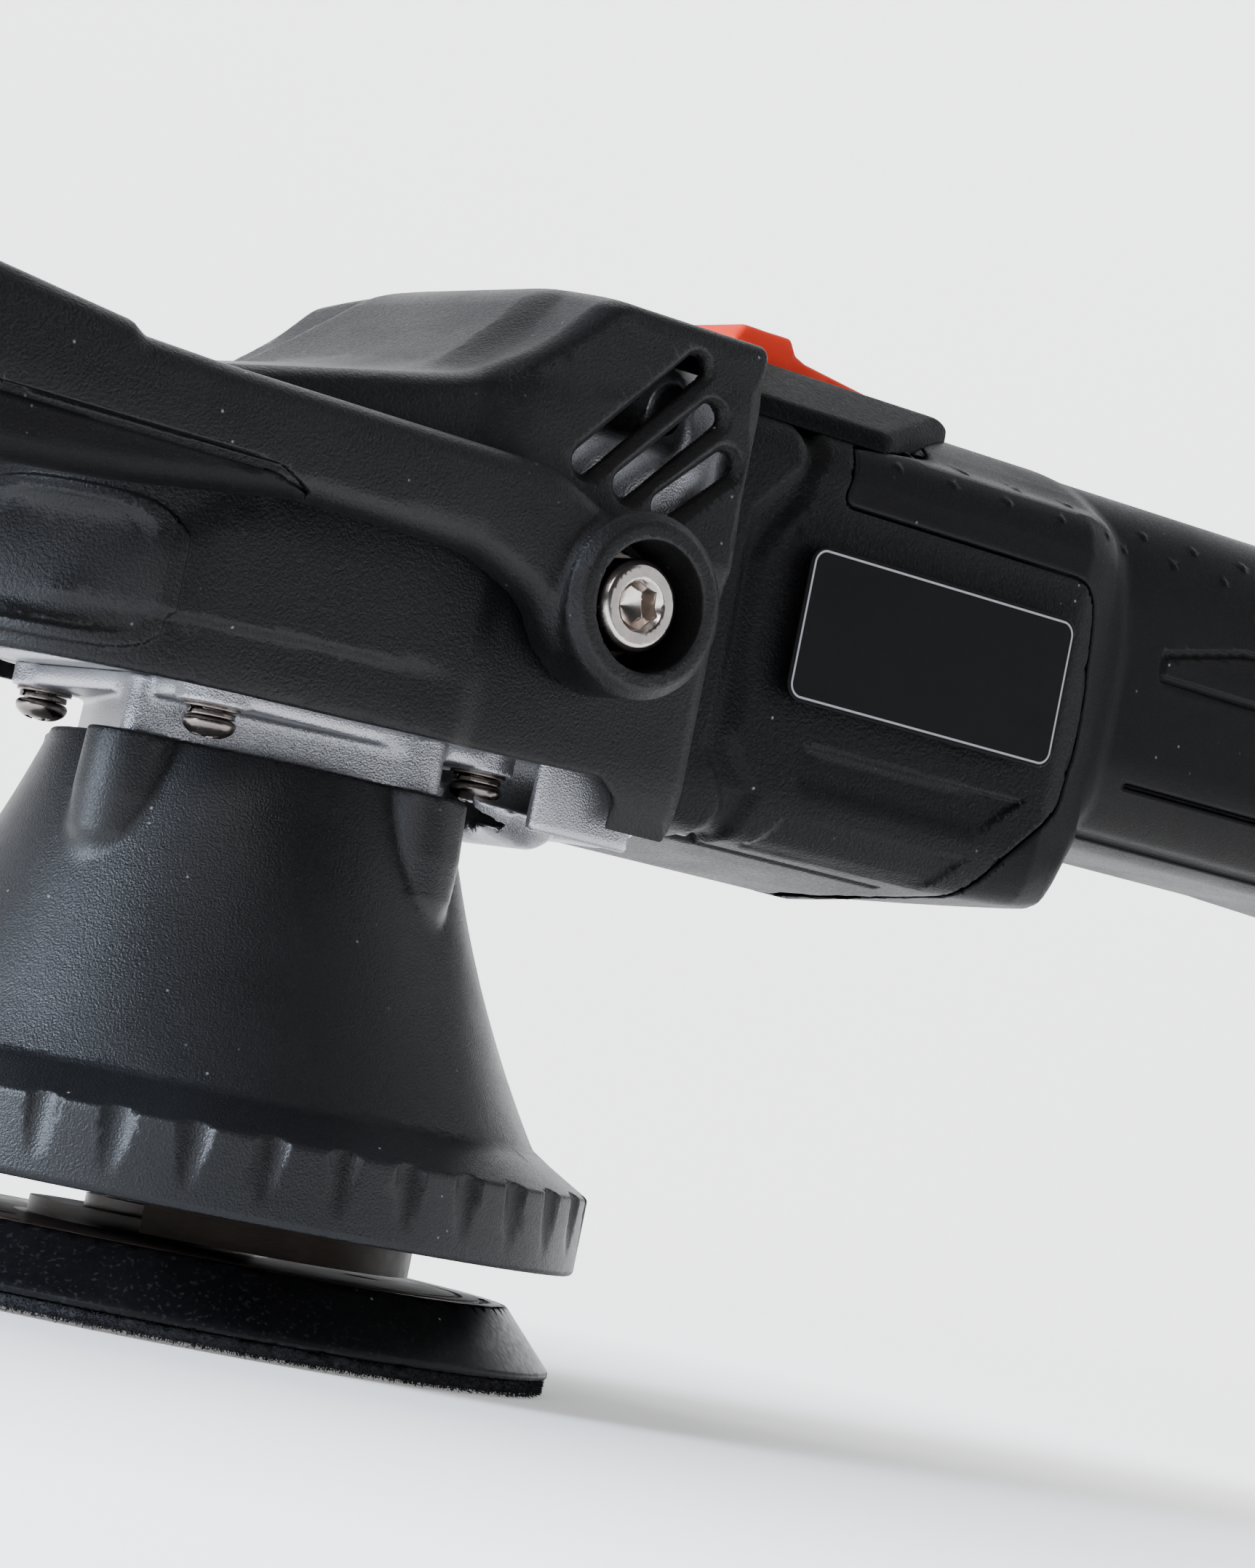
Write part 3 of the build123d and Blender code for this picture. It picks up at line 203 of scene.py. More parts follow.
def cast(name, field, low, high, step=0.6, merge=0.02, copies=((0, 0, 0),)):
    """Mesh the zero surface of a field inside the box from low to high, once for each copy's shift."""
    step = step * 1.0
    low = np.array(low, float) - 2.5 * step
    counts = np.ceil((np.array(high, float) + 2.5 * step - low) / step).astype(int) + 1
    grid = openvdb.FloatGrid()
    grid.background = 3 * step
    grid.copyFromArray(sampled(field, low, counts, step))
    points, triangles, quads = grid.convertToPolygons(isovalue=0.0, adaptivity=merge)
    p = points.astype(float) * step + low
    for _ in range(2):
        value, grad = probe(field, p)
        move = -(value / np.maximum((grad ** 2).sum(1), 0.2))[:, None] * grad
        reach = np.linalg.norm(move, axis=1)
        p += move * np.minimum(1, 0.6 * step / np.maximum(reach, 1e-9))[:, None]
    normals = probe(field, p)[1]
    normals /= np.maximum(np.linalg.norm(normals, axis=1), 1e-9)[:, None]
    faces = triangles.tolist() + quads.tolist()
    all_points, all_normals, all_faces = [], [], []
    for shift in copies:
        first = len(p) * len(all_points)
        all_points.append(p + shift)
        all_normals.append(normals)
        all_faces += [[first + corner for corner in face] for face in faces]
    return mesh_of(name, np.concatenate(all_points), all_faces, np.concatenate(all_normals))


def span(node):
    """A CAD node's lowest and highest corners in millimetres."""
    low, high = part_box(node)
    return low / MM, high / MM


def finish_piece(piece, node, body, material):
    """Let a piece stand for its CAD node: it rides the node's body and takes its material slot."""
    piece.data.materials.clear()
    piece.data.materials.append(material)
    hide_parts(node)
    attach(piece, body)
    return piece


# ------------------------------------------------------------------ materials
class Graph:
    """A material's node tree, with short calls for the nodes that the materials share."""

    def __init__(self, name):
        self.material = bpy.data.materials.new(name)
        self.material.use_nodes = True
        self.nodes = self.material.node_tree.nodes
        self.links = self.material.node_tree.links
        self.shader = self.nodes["Principled BSDF"]
        self.place = self.nodes.new("ShaderNodeTexCoord").outputs["Object"]

    def put(self, socket, value):
        if isinstance(value, bpy.types.NodeSocket):
            self.links.new(value, socket)
        else:
            socket.default_value = value

    def noise(self, scale, detail=2.0, rough=0.5, stretch=(1, 1, 1)):
        node = self.nodes.new("ShaderNodeTexNoise")
        node.inputs["Scale"].default_value = scale
        node.inputs["Detail"].default_value = detail
        node.inputs["Roughness"].default_value = rough
        place = self.place
        if stretch != (1, 1, 1):
            mapping = self.nodes.new("ShaderNodeMapping")
            mapping.inputs["Scale"].default_value = stretch
            self.links.new(place, mapping.inputs["Vector"])
            place = mapping.outputs["Vector"]
        self.links.new(place, node.inputs["Vector"])
        return node.outputs["Fac"]

    def cells(self, scale):
        node = self.nodes.new("ShaderNodeTexVoronoi")
        node.inputs["Scale"].default_value = scale
        self.links.new(self.place, node.inputs["Vector"])
        return node.outputs["Distance"]

    def span(self, value, low, high, out_low, out_high):
        node = self.nodes.new("ShaderNodeMapRange")
        self.put(node.inputs["Value"], value)
        for key, number in zip(("From Min", "From Max", "To Min", "To Max"), (low, high, out_low, out_high)):
            node.inputs[key].default_value = number
        return node.outputs["Result"]

    def sums(self, kind, a, b):
        node = self.nodes.new("ShaderNodeMath")
        node.operation = kind
        self.put(node.inputs[0], a)
        self.put(node.inputs[1], b)
        return node.outputs[0]

    def mix(self, factor, a, b):
        node = self.nodes.new("ShaderNodeMix")
        node.data_type = "RGBA"
        self.put(node.inputs["Factor"], factor)
        self.put(node.inputs["A"], a)
        self.put(node.inputs["B"], b)
        return node.outputs["Result"]

    def edges(self, low, high):
        """1 on worn outer edges, 0 on flats."""
        geometry = self.nodes.new("ShaderNodeNewGeometry")
        return self.span(geometry.outputs["Pointiness"], low, high, 0, 1)

    def bump(self, height, strength, distance):
        node = self.nodes.new("ShaderNodeBump")
        node.inputs["Strength"].default_value = strength
        node.inputs["Distance"].default_value = distance
        self.links.new(height, node.inputs["Height"])
        before = self.shader.inputs["Normal"]
        if before.is_linked:
            self.links.new(before.links[0].from_socket, node.inputs["Normal"])
        self.links.new(node.outputs["Normal"], before)

    def set(self, **values):
        for key, value in values.items():
            self.put(self.shader.inputs[key.replace("_", " ")], value)


def rgb(red, green, blue):
    return (red, green, blue, 1.0)


def moulded(name, dark, light, rough, grain, depth, specks, level):
    """Moulded plastic or rubber: electro-eroded grain with pale specks painted in as glints, faint smears,
    dust specks and paler rubbed edges.
    """
    g = Graph(name)
    fine = g.noise(grain, 2.0, 0.6)
    broad = g.noise(38, 4.0, 0.6)
    colour = g.mix(g.span(broad, 0.35, 0.7, 0, 1), rgb(*dark), rgb(*light))
    worn = g.sums("MULTIPLY", g.edges(0.505, 0.56), 0.35)
    colour = g.mix(worn, colour, rgb(*[min(1, 2.6 * c + 0.005) for c in light]))
    # Pale specks in the grain are painted glints, not a colour of the plastic
    painted_glints = g.span(g.noise(grain * 1.6, 1.0, 0.5), 0.60, 0.72, 0, 0.6)
    colour = g.mix(painted_glints, colour, rgb(*[3.5 * c + 0.003 for c in light]))
    dust = g.span(g.cells(260), 0.03, 0.075, 1, 0)
    gate = g.span(g.noise(55, 2.0), 0.52, 0.6, 0, 1)
    colour = g.mix(g.sums("MULTIPLY", g.sums("MULTIPLY", dust, gate), specks), colour, rgb(0.5, 0.5, 0.52))
    g.set(Base_Color=colour)
    base = g.span(fine, 0.3, 0.7, rough - 0.06, rough + 0.07)
    g.set(Roughness=g.sums("ADD", base, g.span(broad, 0.3, 0.7, -0.06, 0.06)))
    g.shader.inputs["Specular IOR Level"].default_value = level
    g.bump(fine, depth, 0.0002)
    return g.material


def cast_metal(name, colour, rough, grain, depth):
    """Blasted casting: sparkling grain, darker hollows and brighter rubbed edges."""
    g = Graph(name)
    fine = g.noise(grain, 2.0, 0.7)
    glint = g.cells(grain * 0.8)
    broad = g.noise(60, 3.0)
    dull = rgb(*[c * 0.40 for c in colour])
    shade = g.mix(g.span(fine, 0.32, 0.68, 0, 1), dull, rgb(*colour))
    shade = g.mix(g.span(broad, 0.35, 0.75, 0, 0.45), shade, rgb(*[c * 0.72 for c in colour]))
    shade = g.mix(g.edges(0.51, 0.57), shade, rgb(*[min(1, c * 1.25) for c in colour]))
    g.set(Base_Color=shade, Roughness=g.span(fine, 0.3, 0.7, rough - 0.1, rough + 0.12))
    g.shader.inputs["Metallic"].default_value = 0.85
    g.bump(glint, depth, 0.00012)
    g.bump(fine, depth, 0.00012)
    return g.material


def turned_metal(name, colour, rough, stretch=(1, 1, 14), stain=(0.1, 0.07, 0.05), stains=0.25):
    """Machined metal: fine tool marks and a little staining."""
    g = Graph(name)
    marks = g.noise(420, 3.0, 0.6, stretch)
    broad = g.noise(90, 4.0, 0.65)
    shade = g.mix(g.span(marks, 0.35, 0.65, 0, 0.35), rgb(*colour), rgb(*[c * 0.6 for c in colour]))
    shade = g.mix(g.span(broad, 0.55, 0.75, 0, stains), shade, rgb(*stain))
    g.set(Base_Color=shade, Roughness=g.span(broad, 0.3, 0.7, rough - 0.06, rough + 0.1))
    g.shader.inputs["Metallic"].default_value = 1.0
    g.bump(marks, 0.12, 0.0002)
    return g.material


# ------------------------------------------------------------------ driving sizes, read from the frame (mm)
COVER_LOW, COVER_HIGH = span("head_cover")
HEAD_HALF = COVER_HIGH[1]
HEAD_TOP = COVER_HIGH[2]
NOSE_X = COVER_LOW[0]
SEAM_X = COVER_HIGH[0]
SKIRT_Z = COVER_LOW[2]
EDGE_Z = SKIRT_Z + 10.8
MOTOR_Z = sum(corner[2] for corner in span("motor_shaft")) / 2
BOLT_X = sum(corner[0] for corner in span("handle_bolts")) / 2
BOLT_Z = sum(corner[2] for corner in span("handle_bolts")) / 2
SHELL_LOW, SHELL_HIGH = span("motor_housing_left")
SHROUD_LOW, SHROUD_HIGH = span("shroud")
RIM_R = SHROUD_HIGH[0]
RIM_Z = SHROUD_LOW[2]
NECK_Z = SHROUD_HIGH[2]
FLANGE_LOW, FLANGE_HIGH = span("bearing_flange")
HANDLE_LOW, HANDLE_HIGH = span("handle_frame")
GRIP_LOW = span("handle_grip")[0]
BEZEL_TOP = span("switch_bezel")[1][2]
PACK_LOW, PACK_HIGH = span("battery_shell_front")
PACK_END = span("battery_shell_rear")[1][0]
SLOT = {row["node"]: row["material_slot"] for row in frame["record"]["subparts"]}
BODY = {node: body for body, nodes in frame["record"]["behaviour"]["bodies"].items() for node in nodes}


# ------------------------------------------------------------------ head cover
VENTS = [((27.5, 141.8), 23.9, 47.9), ((33.5, 137.9), 18.0, 46.6), ((39.2, 134.0), 12.2, 43.0)]
VENT_R = 1.9
COVER_WALL = 2.4


def cover_outside(x, y, z, grow=0.0):
    """The cover's outer form; a positive grow makes it smaller, for the cavity."""
    a = np.abs(y) + grow
    down = z + grow
    # The side wall tapers in front of the vertical crease, and sits lower round the handle boss
    crease = 8.0
    taper = np.maximum(crease - x, 0) * 0.03 + ease(crease - x, 0, 8) * np.clip(z - 124, 0, 30) * 0.10
    boss_dip = ease(x, 5, 10) * (1 - ease(z, 119, 124)) * 1.1
    wall = a - HEAD_HALF + np.where(x < crease, taper, 0) + boss_dip
    # A soft ledge along the lower side fades out at its rear end
    wall = wall + 0.8 * ease(-line(x, z, (-56, 96), (7, 98.4)), -0.9, 0.9) * (1 - ease(x, -12, 7))
    plan = both(wall, NOSE_X + grow - x, 28)
    # The lower body ends in a sloping ridge that climbs to the boxy rear end
    ridge = joined(line(x, down, (-40, 128.4), (-22, 132)), line(x, down, (-22, 132), (4.7, 142.6)), 6)
    climb = line(x, down, (5.6, 143.0), (16.7, 154.7))
    rear = joined(ridge, climb, 5)
    lower = both(plan, rear, 3.2)
    # A shallow shoulder climbs to a steep hump in the middle
    slope_up = (down - 136 - 0.19 * (x + 29) - 0.07 * (29 - a)) / 1.02
    nose_top = line(x, down, (NOSE_X, 128), (-33, 135.5))
    shoulder = both(both(plan, slope_up, 3), nose_top, 5)
    hump_wall = (down - 138 - 0.19 * (x + 18) - 2.0 * (29 - a)) / 2.24
    hump_front = line(x, down, (-1.5, 141.2), (18.0, 157.3))
    hump_top = line(x, down, (18.0, 157.3), (31.6, 159.8))
    hump = both(both(both(plan, hump_wall, 2), hump_front, 2), hump_top, 1.5)
    form = joined(joined(lower, shoulder, 1.2), hump, 3.5)
    roof = (down - 157.3 - 0.19 * (36 - a)) / 1.018
    form = both(both(form, roof, 2.0), down - HEAD_TOP, 3)
    # The bottom corners round in towards the skirt, which follows the motor housing
    return both(form, 60 - z) if grow else both(form, SKIRT_Z - z, 15)


def cover_field(x, y, z):
    """The cover: a shell with its bottom edge, slots, bolt holes, corner frames and louvres."""
    a = np.abs(y)
    outer = cover_outside(x, y, z)
    inner = cover_outside(x, y, z, COVER_WALL)
    shell = without(outer, both(inner, np.maximum(x - SEAM_X - 9, -50)), 0.5)
    # Bottom edge: straight under the head, then a notch behind the flange
    notch = polygon(x, z, rounded([(NOSE_X - 9, 40), (NOSE_X - 9, EDGE_Z - 0.6), (19, EDGE_Z + 0.8),
                                   (33, EDGE_Z + 1.2),
                                   (37.2, EDGE_Z - 2), (36.6, 82), (33.5, 78.6), (34.5, 40)],
                                  [0, 0, 0, 3, 3, 3, 0.6, 0]))
    shell = without(shell, notch, 0.7)
    shell = both(shell, x - SEAM_X, 0.8)
    for (cx, cz), length, angle in VENTS:
        run = (cos(radians(angle)) * length / 2, sin(radians(angle)) * length / 2)
        gap = stadium(x, z, (cx - run[0], cz - run[1]), (cx + run[0], cz + run[1]), VENT_R)
        shell = without(shell, both(gap, 20 - a))
        # The slot's edge is chamfered
        shell = without(shell, both(gap - 1.0 - (a - HEAD_HALF) * 0.9, 30 - a), 0.3)
    bolt = np.hypot(x - BOLT_X, z - BOLT_Z)
    shell = without(shell, bolt - 9.4, 0.4)
    # A raised frame round a sunk panel at each front corner
    for side in (-1, 1):
        u = (x + 57.5) * 0.76 - (side * y - 31.0) * 0.65
        w = both(np.abs(u) - 4.6, np.abs(z - 101.0) - 8.5, 2.5)
        near = side * -y
        shell = dent(shell, both(np.abs(w - 1.4) - 1.4, near), -1.0, 0.8)
        shell = dent(shell, both(w, near), 1.2, 0.9)
    # Louvres across the nose
    for k in range(4):
        louvre = brick(x, y, z, ((NOSE_X - 2, NOSE_X + 8), (-15, 15), (94 + 6 * k, 96.6 + 6 * k)), 1.0)
        shell = without(shell, louvre, 0.4)
    return shell


def make_head_cover():
    return cast("cover_shell", cover_field, (NOSE_X - 1, -41, SKIRT_Z - 1),
                (SEAM_X + 0.5, 41, HEAD_TOP + 0.5), 0.5, 0.03)


# ------------------------------------------------------------------ motor housing, grip and foot
SIDE_BAND = rounded([(47, 152), (63.5, 152), (65.5, 146), (63.4, 140), (62.6, 136.6), (58.4, 131),
                     (56.2, 126.5), (57.0, 112),
                     (57.4, 101), (64.5, 93.4), (60, 74), (54, 74), (57.0, 90), (51.2, 97), (51.6, 112),
                     (51.2, 126),
                     (51.4, 134), (56.6, 139.6), (59.8, 143), (59.2, 147.4), (54, 149), (47, 148.8)], 3.0, 4)
SLEEVE_EDGE = rounded([(95.0, 172), (92.0, 150.6), (70.6, 147.4), (68.8, 138.2), (121.5, 138.0), (125.2, 116),
                       (122.6, 102.6), (113.2, 93.2),
                       (106.3, 84.5), (92, 79), (92, 50), (264, 50), (264, 172)],
                      [1, 2, 1, 1.5, 6, 30, 6, 3, 3, 3, 1, 1, 1])
DIAL_X = 232.0
BARREL_HALF = 39.5
BARREL_BASE = 81.2
GRIP_HALF = 28.0
FOOT_HALF = 27
WEDGE = [(145.4, 127.2), (145.1, 132.6), (163.3, 136.6), (196, 137.0), (196, 126.0), (166, 127.0)]


def housing_form(x, y, z, grow=0.0):
    """Barrel, grip and foot as one form; a positive grow makes it smaller."""
    a = np.abs(y) + grow
    low = z - grow
    high = z + grow
    # Barrel: flat sides, a lower chamfer in two facets, and a round top
    facet = line(a, low, (BARREL_HALF, 92.4), (35.0, 85.0))
    base = line(a, low, (35.0, 85.0), (20, BARREL_BASE))
    barrel = both(both(a - BARREL_HALF, facet, 3), base, 3)
    barrel = both(barrel, BARREL_BASE - low, 8)
    roof = polygon(a, high, [(-5, 40), (40.5, 40), (40.5, 143.6), (34, 148.3), (24, 151.4), (12, 154.0),
                             (-5, 155.2)])
    barrel = both(barrel, roof, 4)
    back = polygon(x, low, [(30, 60), (108, 60), (108, 81.3), (127, 86.2), (136.5, 98), (137, 130),
                            (130, 150), (126, 170), (30, 170)])
    taper = both(a - BARREL_HALF + np.maximum(x - 119, 0) * 0.62, back, 7)
    barrel = both(barrel, taper, 6)
    # Grip: a rounded section that grows a little towards the foot
    spread = np.maximum(x - 200, 0) * 0.04
    grip = both(both(a - GRIP_HALF, high - 156.2 - spread, 18), 99.6 - spread - low, 15)
    grip = both(grip, between(x, 90, 290), 1)
    # Foot: a square block that takes the battery
    swell = ease(x, 252, 277)
    foot = both(both(a - FOOT_HALF - 8 * swell, high - 155 - 17 * swell, 12), 95 - 31 * swell - low, 12) * 0.8
    foot = both(foot, 250 - x, 1)
    form = joined(joined(barrel, grip, 5), foot, 5)
    form = both(form, SHELL_LOW[0] - x, 0.6)
    return both(form, x - SHELL_HIGH[0], 1.2)


def sleeve_region(x, z):
    """The side outline of the soft overmould."""
    return polygon(x, z, SLEEVE_EDGE)


def housing_detail(x, y, z, form):
    """Surface detail of the textured hard shell."""
    a = np.abs(y)
    side = 25 - a
    # Smooth channel behind the seam, with the textured panel standing above it
    form = dent(form, both(polygon(x, z, SIDE_BAND), side), 1.5, 2.6)
    # Raised pad round the label
    pad = both(between(x, 58.8, 120.0), between(z, 105.0, 133.4), 4.5)
    form = dent(form, both(pad, side), -0.25, 0.7)
    # Sunk panel below it, deepest along its upper edge and pointed at its rear end
    sunk = polygon(x, z, [(70.3, 101.9), (115.2, 102.4), (106.6, 95.4), (70.0, 95.1)])
    form = dent(form, both(sunk, side), 0.25 + np.clip(z - 95, 0, 8) * 0.1, 0.8)
    # Sunk panel on the lower facet, and a channel in the base
    lower = polygon(x, z, [(69.4, 90.8), (106.0, 91.3), (101.2, 85.4), (66.0, 85.1)])
    form = dent(form, both(lower, 28 - a), 0.6, 0.8)
    channel = both(both(np.abs(a - 27.2) - 1.3, between(x, 57, 98)), z - 87)
    return dent(form, channel, 0.6, 0.8)


def hard_shell(x, y, z):
    """The hard housing: hollow, let in for the overmould, with its openings and air inlets."""
    outer = housing_form(x, y, z)
    sleeve = sleeve_region(x, z)
    body = housing_detail(x, y, z, outer)
    body = both(body, joined(-sleeve + 0.25, outer + 1.5), 0.3)
    cavity = both(housing_form(x, y, z, 3.0), between(x, SHELL_LOW[0] - 5, SHELL_HIGH[0] - 3.0), 1)
    body = without(body, cavity, 0.4)
    # Openings: slide switch, speed dial, battery contacts and the foot's air inlets
    body = without(body, brick(x, y, z, ((66, 100), (-5, 5), (148, 175))), 0.3)
    body = without(body, brick(x, y, z, ((219, 245), (-4, 4), (148, 175))), 0.3)
    body = without(body, brick(x, y, z, ((SHELL_HIGH[0] - 5, SHELL_HIGH[0] + 2), (-20, 20), (92, 124)), 1),
                   0.3)
    for k in range(4):
        inlet = stadium(x, z, (276.5, 99.7 + 9 * k), (288.5, 99.7 + 9 * k), 1.75)
        body = without(body, both(inlet, 20 - np.abs(y)), 0.5)
    # Ribs across the foot's top and bottom
    for k in range(3):
        rib = both(np.abs(x - 279.5 - 4.6 * k) - 0.8, both(-outer - 0.5, np.abs(y) - 24))
        body = without(body, both(rib, 8 - np.abs(z - 118) + 38), 0.3)
    return body


SCREWS = [(137.0, 98.0), (172.0, 104.5), (244.0, 103.0), (284.0, 76.0), (284.0, 160.0), (137.0, 138.0)]


def left_half(x, y, z):
    """The left half, up to the joint between the halves."""
    return both(hard_shell(x, y, z), y + 0.12, 0.25)


def right_half(x, y, z):
    """The right half, with the counterbores of the housing screws."""
    half = both(hard_shell(x, y, z), 0.12 - y, 0.25)
    for cx, cz in SCREWS:
        half = without(half, both(np.hypot(x - cx, z - cz) - 3.6, 22 - y), 0.3)
    return half


def sleeve_field(x, y, z):
    """The overmould, with its pimples, inlays and flutes."""
    outer = housing_form(x, y, z)
    a = np.abs(y)
    form = both(both(outer - 0.15, -outer - 1.3), sleeve_region(x, z) + 0.15, 0.5)
    # Staggered pimples along the upper sides
    for height, first in ((150.0, 84.6), (146.3, 79.0)):
        u = x - first
        u = u - 11.2 * np.round(np.clip(u / 11.2, 0, 14))
        pimple = np.sqrt(u ** 2 + (z - height) ** 2 + (np.clip(outer, -3, 3) * 1.4) ** 2) - 0.7
        form = joined(form, both(pimple * 0.8, 12 - a), 0.2)
    # Pointed inlay on each side, and two long flutes below it
    inlay = polygon(x, z, rounded(WEDGE, [1.5, 1.5, 8, 0, 0, 8]))
    form = dent(form, both(np.abs(inlay + 0.9) - 0.9, 18 - a), 0.5, 0.7)
    for height, start in ((101.6, 136.0), (110.0, 143.0)):
        flute = both(np.abs(z - height) - 0.9, between(x, start, 246))
        form = dent(form, both(flute, 15 - a), 0.5, 0.7)
    form = without(form, both(between(x, DIAL_X - 14.5, DIAL_X + 14.5), both(a - 6.5, 140 - z), 2), 0.5)
    for cx, cz in SCREWS:
        form = without(form, both(np.hypot(x - cx, z - cz) - 3.8, 15 - y), 0.3)
    return form


def make_housing():
    left = cast("housing_shell_left", left_half, (SHELL_LOW[0] - 0.5, -41, 63),
                (SHELL_HIGH[0] + 0.5, 0.2, 173), 0.55, 0.05)
    right = cast("housing_shell_right", right_half, (SHELL_LOW[0] - 0.5, -0.2, 63),
                 (SHELL_HIGH[0] + 0.5, 41, 173), 0.6, 0.05)
    sleeve = cast("grip_overmould", sleeve_field, (64, -41, 78), (266, 41, 168), 0.55, 0.04)
    return left, right, sleeve


# ------------------------------------------------------------------ bail handle
ARM_IN = 41.6
ARM_OUT = 50.6
RING_FACE = HANDLE_HIGH[1]
RING_R = HANDLE_HIGH[0] - BOLT_X
CUP_R = 9.4
CUP_FLOOR = 42.6
BAR_FRONT = HANDLE_LOW[0]
ARM_SIDE = rounded([(-131, 112.6), (-79, 109.4), (-58.6, 111.3), (-31.3, 115.3), (-2, 114.8), (9, 110.5),
                    (15, 104),
                    (25, 104), (30, 122), (18, 125.6), (9.5, 129.6), (-47.7, 130.2), (-60.2, 130.7),
                    (-62.4, 132.2), (-86, 135.0), (-93, 134.6), (-131, 134.6)],
                   [0, 12, 20, 6, 20, 12, 2, 0, 0, 10, 12, 40, 1.2, 1.5, 3, 3, 0])
GRIP_SIDE = rounded([(-131, 108.6), (-79, 107.7), (-58.6, 110.7), (-31.0, 115.0), (-31.0, 116.2),
                     (-37.2, 118.9), (-60.0, 119.1),
                     (-88.0, 119.3), (-91.5, 134.0), (-131, 134.0)],
                    [0, 12, 20, 1, 2.0, 5, 20, 6, 3, 0])


def bail_plan(x, a, out, reach, inner, corner):
    """The bail seen from above: two arms and a front bar, with a rounded front corner."""
    outside = both(a - out, reach - x, corner)
    return without(outside, both(a - inner, reach + 23.0 - x, 9))


def bail_core(x, a, z):
    """The arms and front bar under the soft sleeve, with slightly crowned outer sides."""
    crown = 0.9 * np.clip(1 - ((z - 121) / 12) ** 2, 0, 1)
    return both(polygon(x, z, ARM_SIDE), bail_plan(x, a, ARM_OUT - 0.9 + crown, BAR_FRONT, ARM_IN, 18), 3.4)


def handle_field(x, y, z):
    """The hard bail with its two cupped pivot bosses."""
    a = np.abs(y)
    core = bail_core(x, a, z)
    r = np.hypot(x - BOLT_X, z - BOLT_Z)
    ring = both(both(r - RING_R, between(a, ARM_IN, RING_FACE), 0.3),
                (r - RING_R + a - RING_FACE + 1.7) / 1.414, 0.3)
    form = joined(core, ring, 1.6)
    form = both(form, ARM_IN - a - np.where(x < -88, 50, 0), 0.4)
    # The grip's soft sleeve is let into the frame
    form = without(form, both(polygon(x, z, GRIP_SIDE), -core - 0.8), 0.05)
    form = without(form, both(r - CUP_R, CUP_FLOOR - a), 0.35)
    return without(form, both(r - 4.05, 30 - a), 0.2)


def handle_grip_field(x, y, z):
    """The soft sleeve on the front bar and the lower sides of the arms."""
    a = np.abs(y)
    side = polygon(x, z, GRIP_SIDE)
    widen = 3.1 * ease(-x, 84, 110)
    outer = both(side, bail_plan(x, a, ARM_OUT + 0.5 + widen, BAR_FRONT - 3.6,
                                 ARM_IN - 0.9 * ease(-x, 62, 80), 22), 3.8)
    core = bail_core(x, a, z)
    skin = core - 0.12 - 4.2 * ease(-x, 80, 100)
    form = both(both(outer, skin), -core - 0.75)
    # Finger flutes along the front bar and the arms
    for k in range(5):
        flute = both(np.abs(z - 113.5 - 3.9 * k) - 0.45, both(-74 - x, -outer - 0.5))
        form = without(form, both(flute, 96 - np.maximum(a * 1.86, -x)), 0.3)
    return both(form, ARM_IN - 1.2 - a - np.where(x < -88, 60, 0))


def make_handle():
    frame_piece = cast("bail_frame", handle_field, (BAR_FRONT - 1, -RING_FACE - 0.5, 99),
                       (40, RING_FACE + 0.5, 133), 0.5, 0.03)
    grip_piece = cast("bail_grip", handle_grip_field, (GRIP_LOW[0] - 1, -55.5, 105), (-29, 55.5, 136), 0.5,
                      0.03)
    return frame_piece, grip_piece


# ------------------------------------------------------------------ shroud, flange and gear housing
def arc(start, via, end, steps):
    """Points on the circle through three points, without the last one."""
    (ax, ay), (bx, by), (cx, cy) = start, via, end
    d = 2 * (ax * (by - cy) + bx * (cy - ay) + cx * (ay - by))
    ux = ((ax * ax + ay * ay) * (by - cy) + (bx * bx + by * by) * (cy - ay) + (cx * cx + cy * cy)
          * (ay - by)) / d
    uy = ((ax * ax + ay * ay) * (cx - bx) + (bx * bx + by * by) * (ax - cx) + (cx * cx + cy * cy)
          * (bx - ax)) / d
    r = hypot(ax - ux, ay - uy)
    first, last = atan2(ay - uy, ax - ux), atan2(cy - uy, cx - ux)
    turn = (last - first + pi) % (2 * pi) - pi
    return [(ux + r * cos(first + turn * k / steps),
             uy + r * sin(first + turn * k / steps)) for k in range(steps)]


RIM_TOP = RIM_Z + 11.4
KNEE = (51.0, RIM_Z + 17.1)
WAIST = (38.3, RIM_Z + 40.3)
NECK = (29.7, NECK_Z)
COLLAR_TURN = 22.5
SHROUD_SCREW_R = 26.6
FLANGE_SCREW_R = 32.95
SHROUD_OUT = ([(0, RIM_Z), (RIM_R, RIM_Z), (RIM_R, RIM_TOP), (KNEE[0] + 0.8, KNEE[1] - 0.8)]
              + arc(KNEE, WAIST, NECK, 14) + [NECK, (0, NECK_Z)])
SHROUD_IN = ([(0, RIM_Z - 5), (RIM_R - 2.4, RIM_Z - 5), (RIM_R - 2.4, RIM_TOP - 1.8),
              (KNEE[0] - 2.4, KNEE[1] - 1.6)]
             + arc((KNEE[0] - 2.6, KNEE[1] - 1.4), (WAIST[0] - 2.6, WAIST[1] - 1.2),
                   (NECK[0] - 2.2, NECK_Z - 3), 12)
             + [(NECK[0] - 2.2, NECK_Z - 3), (0, NECK_Z - 3)])


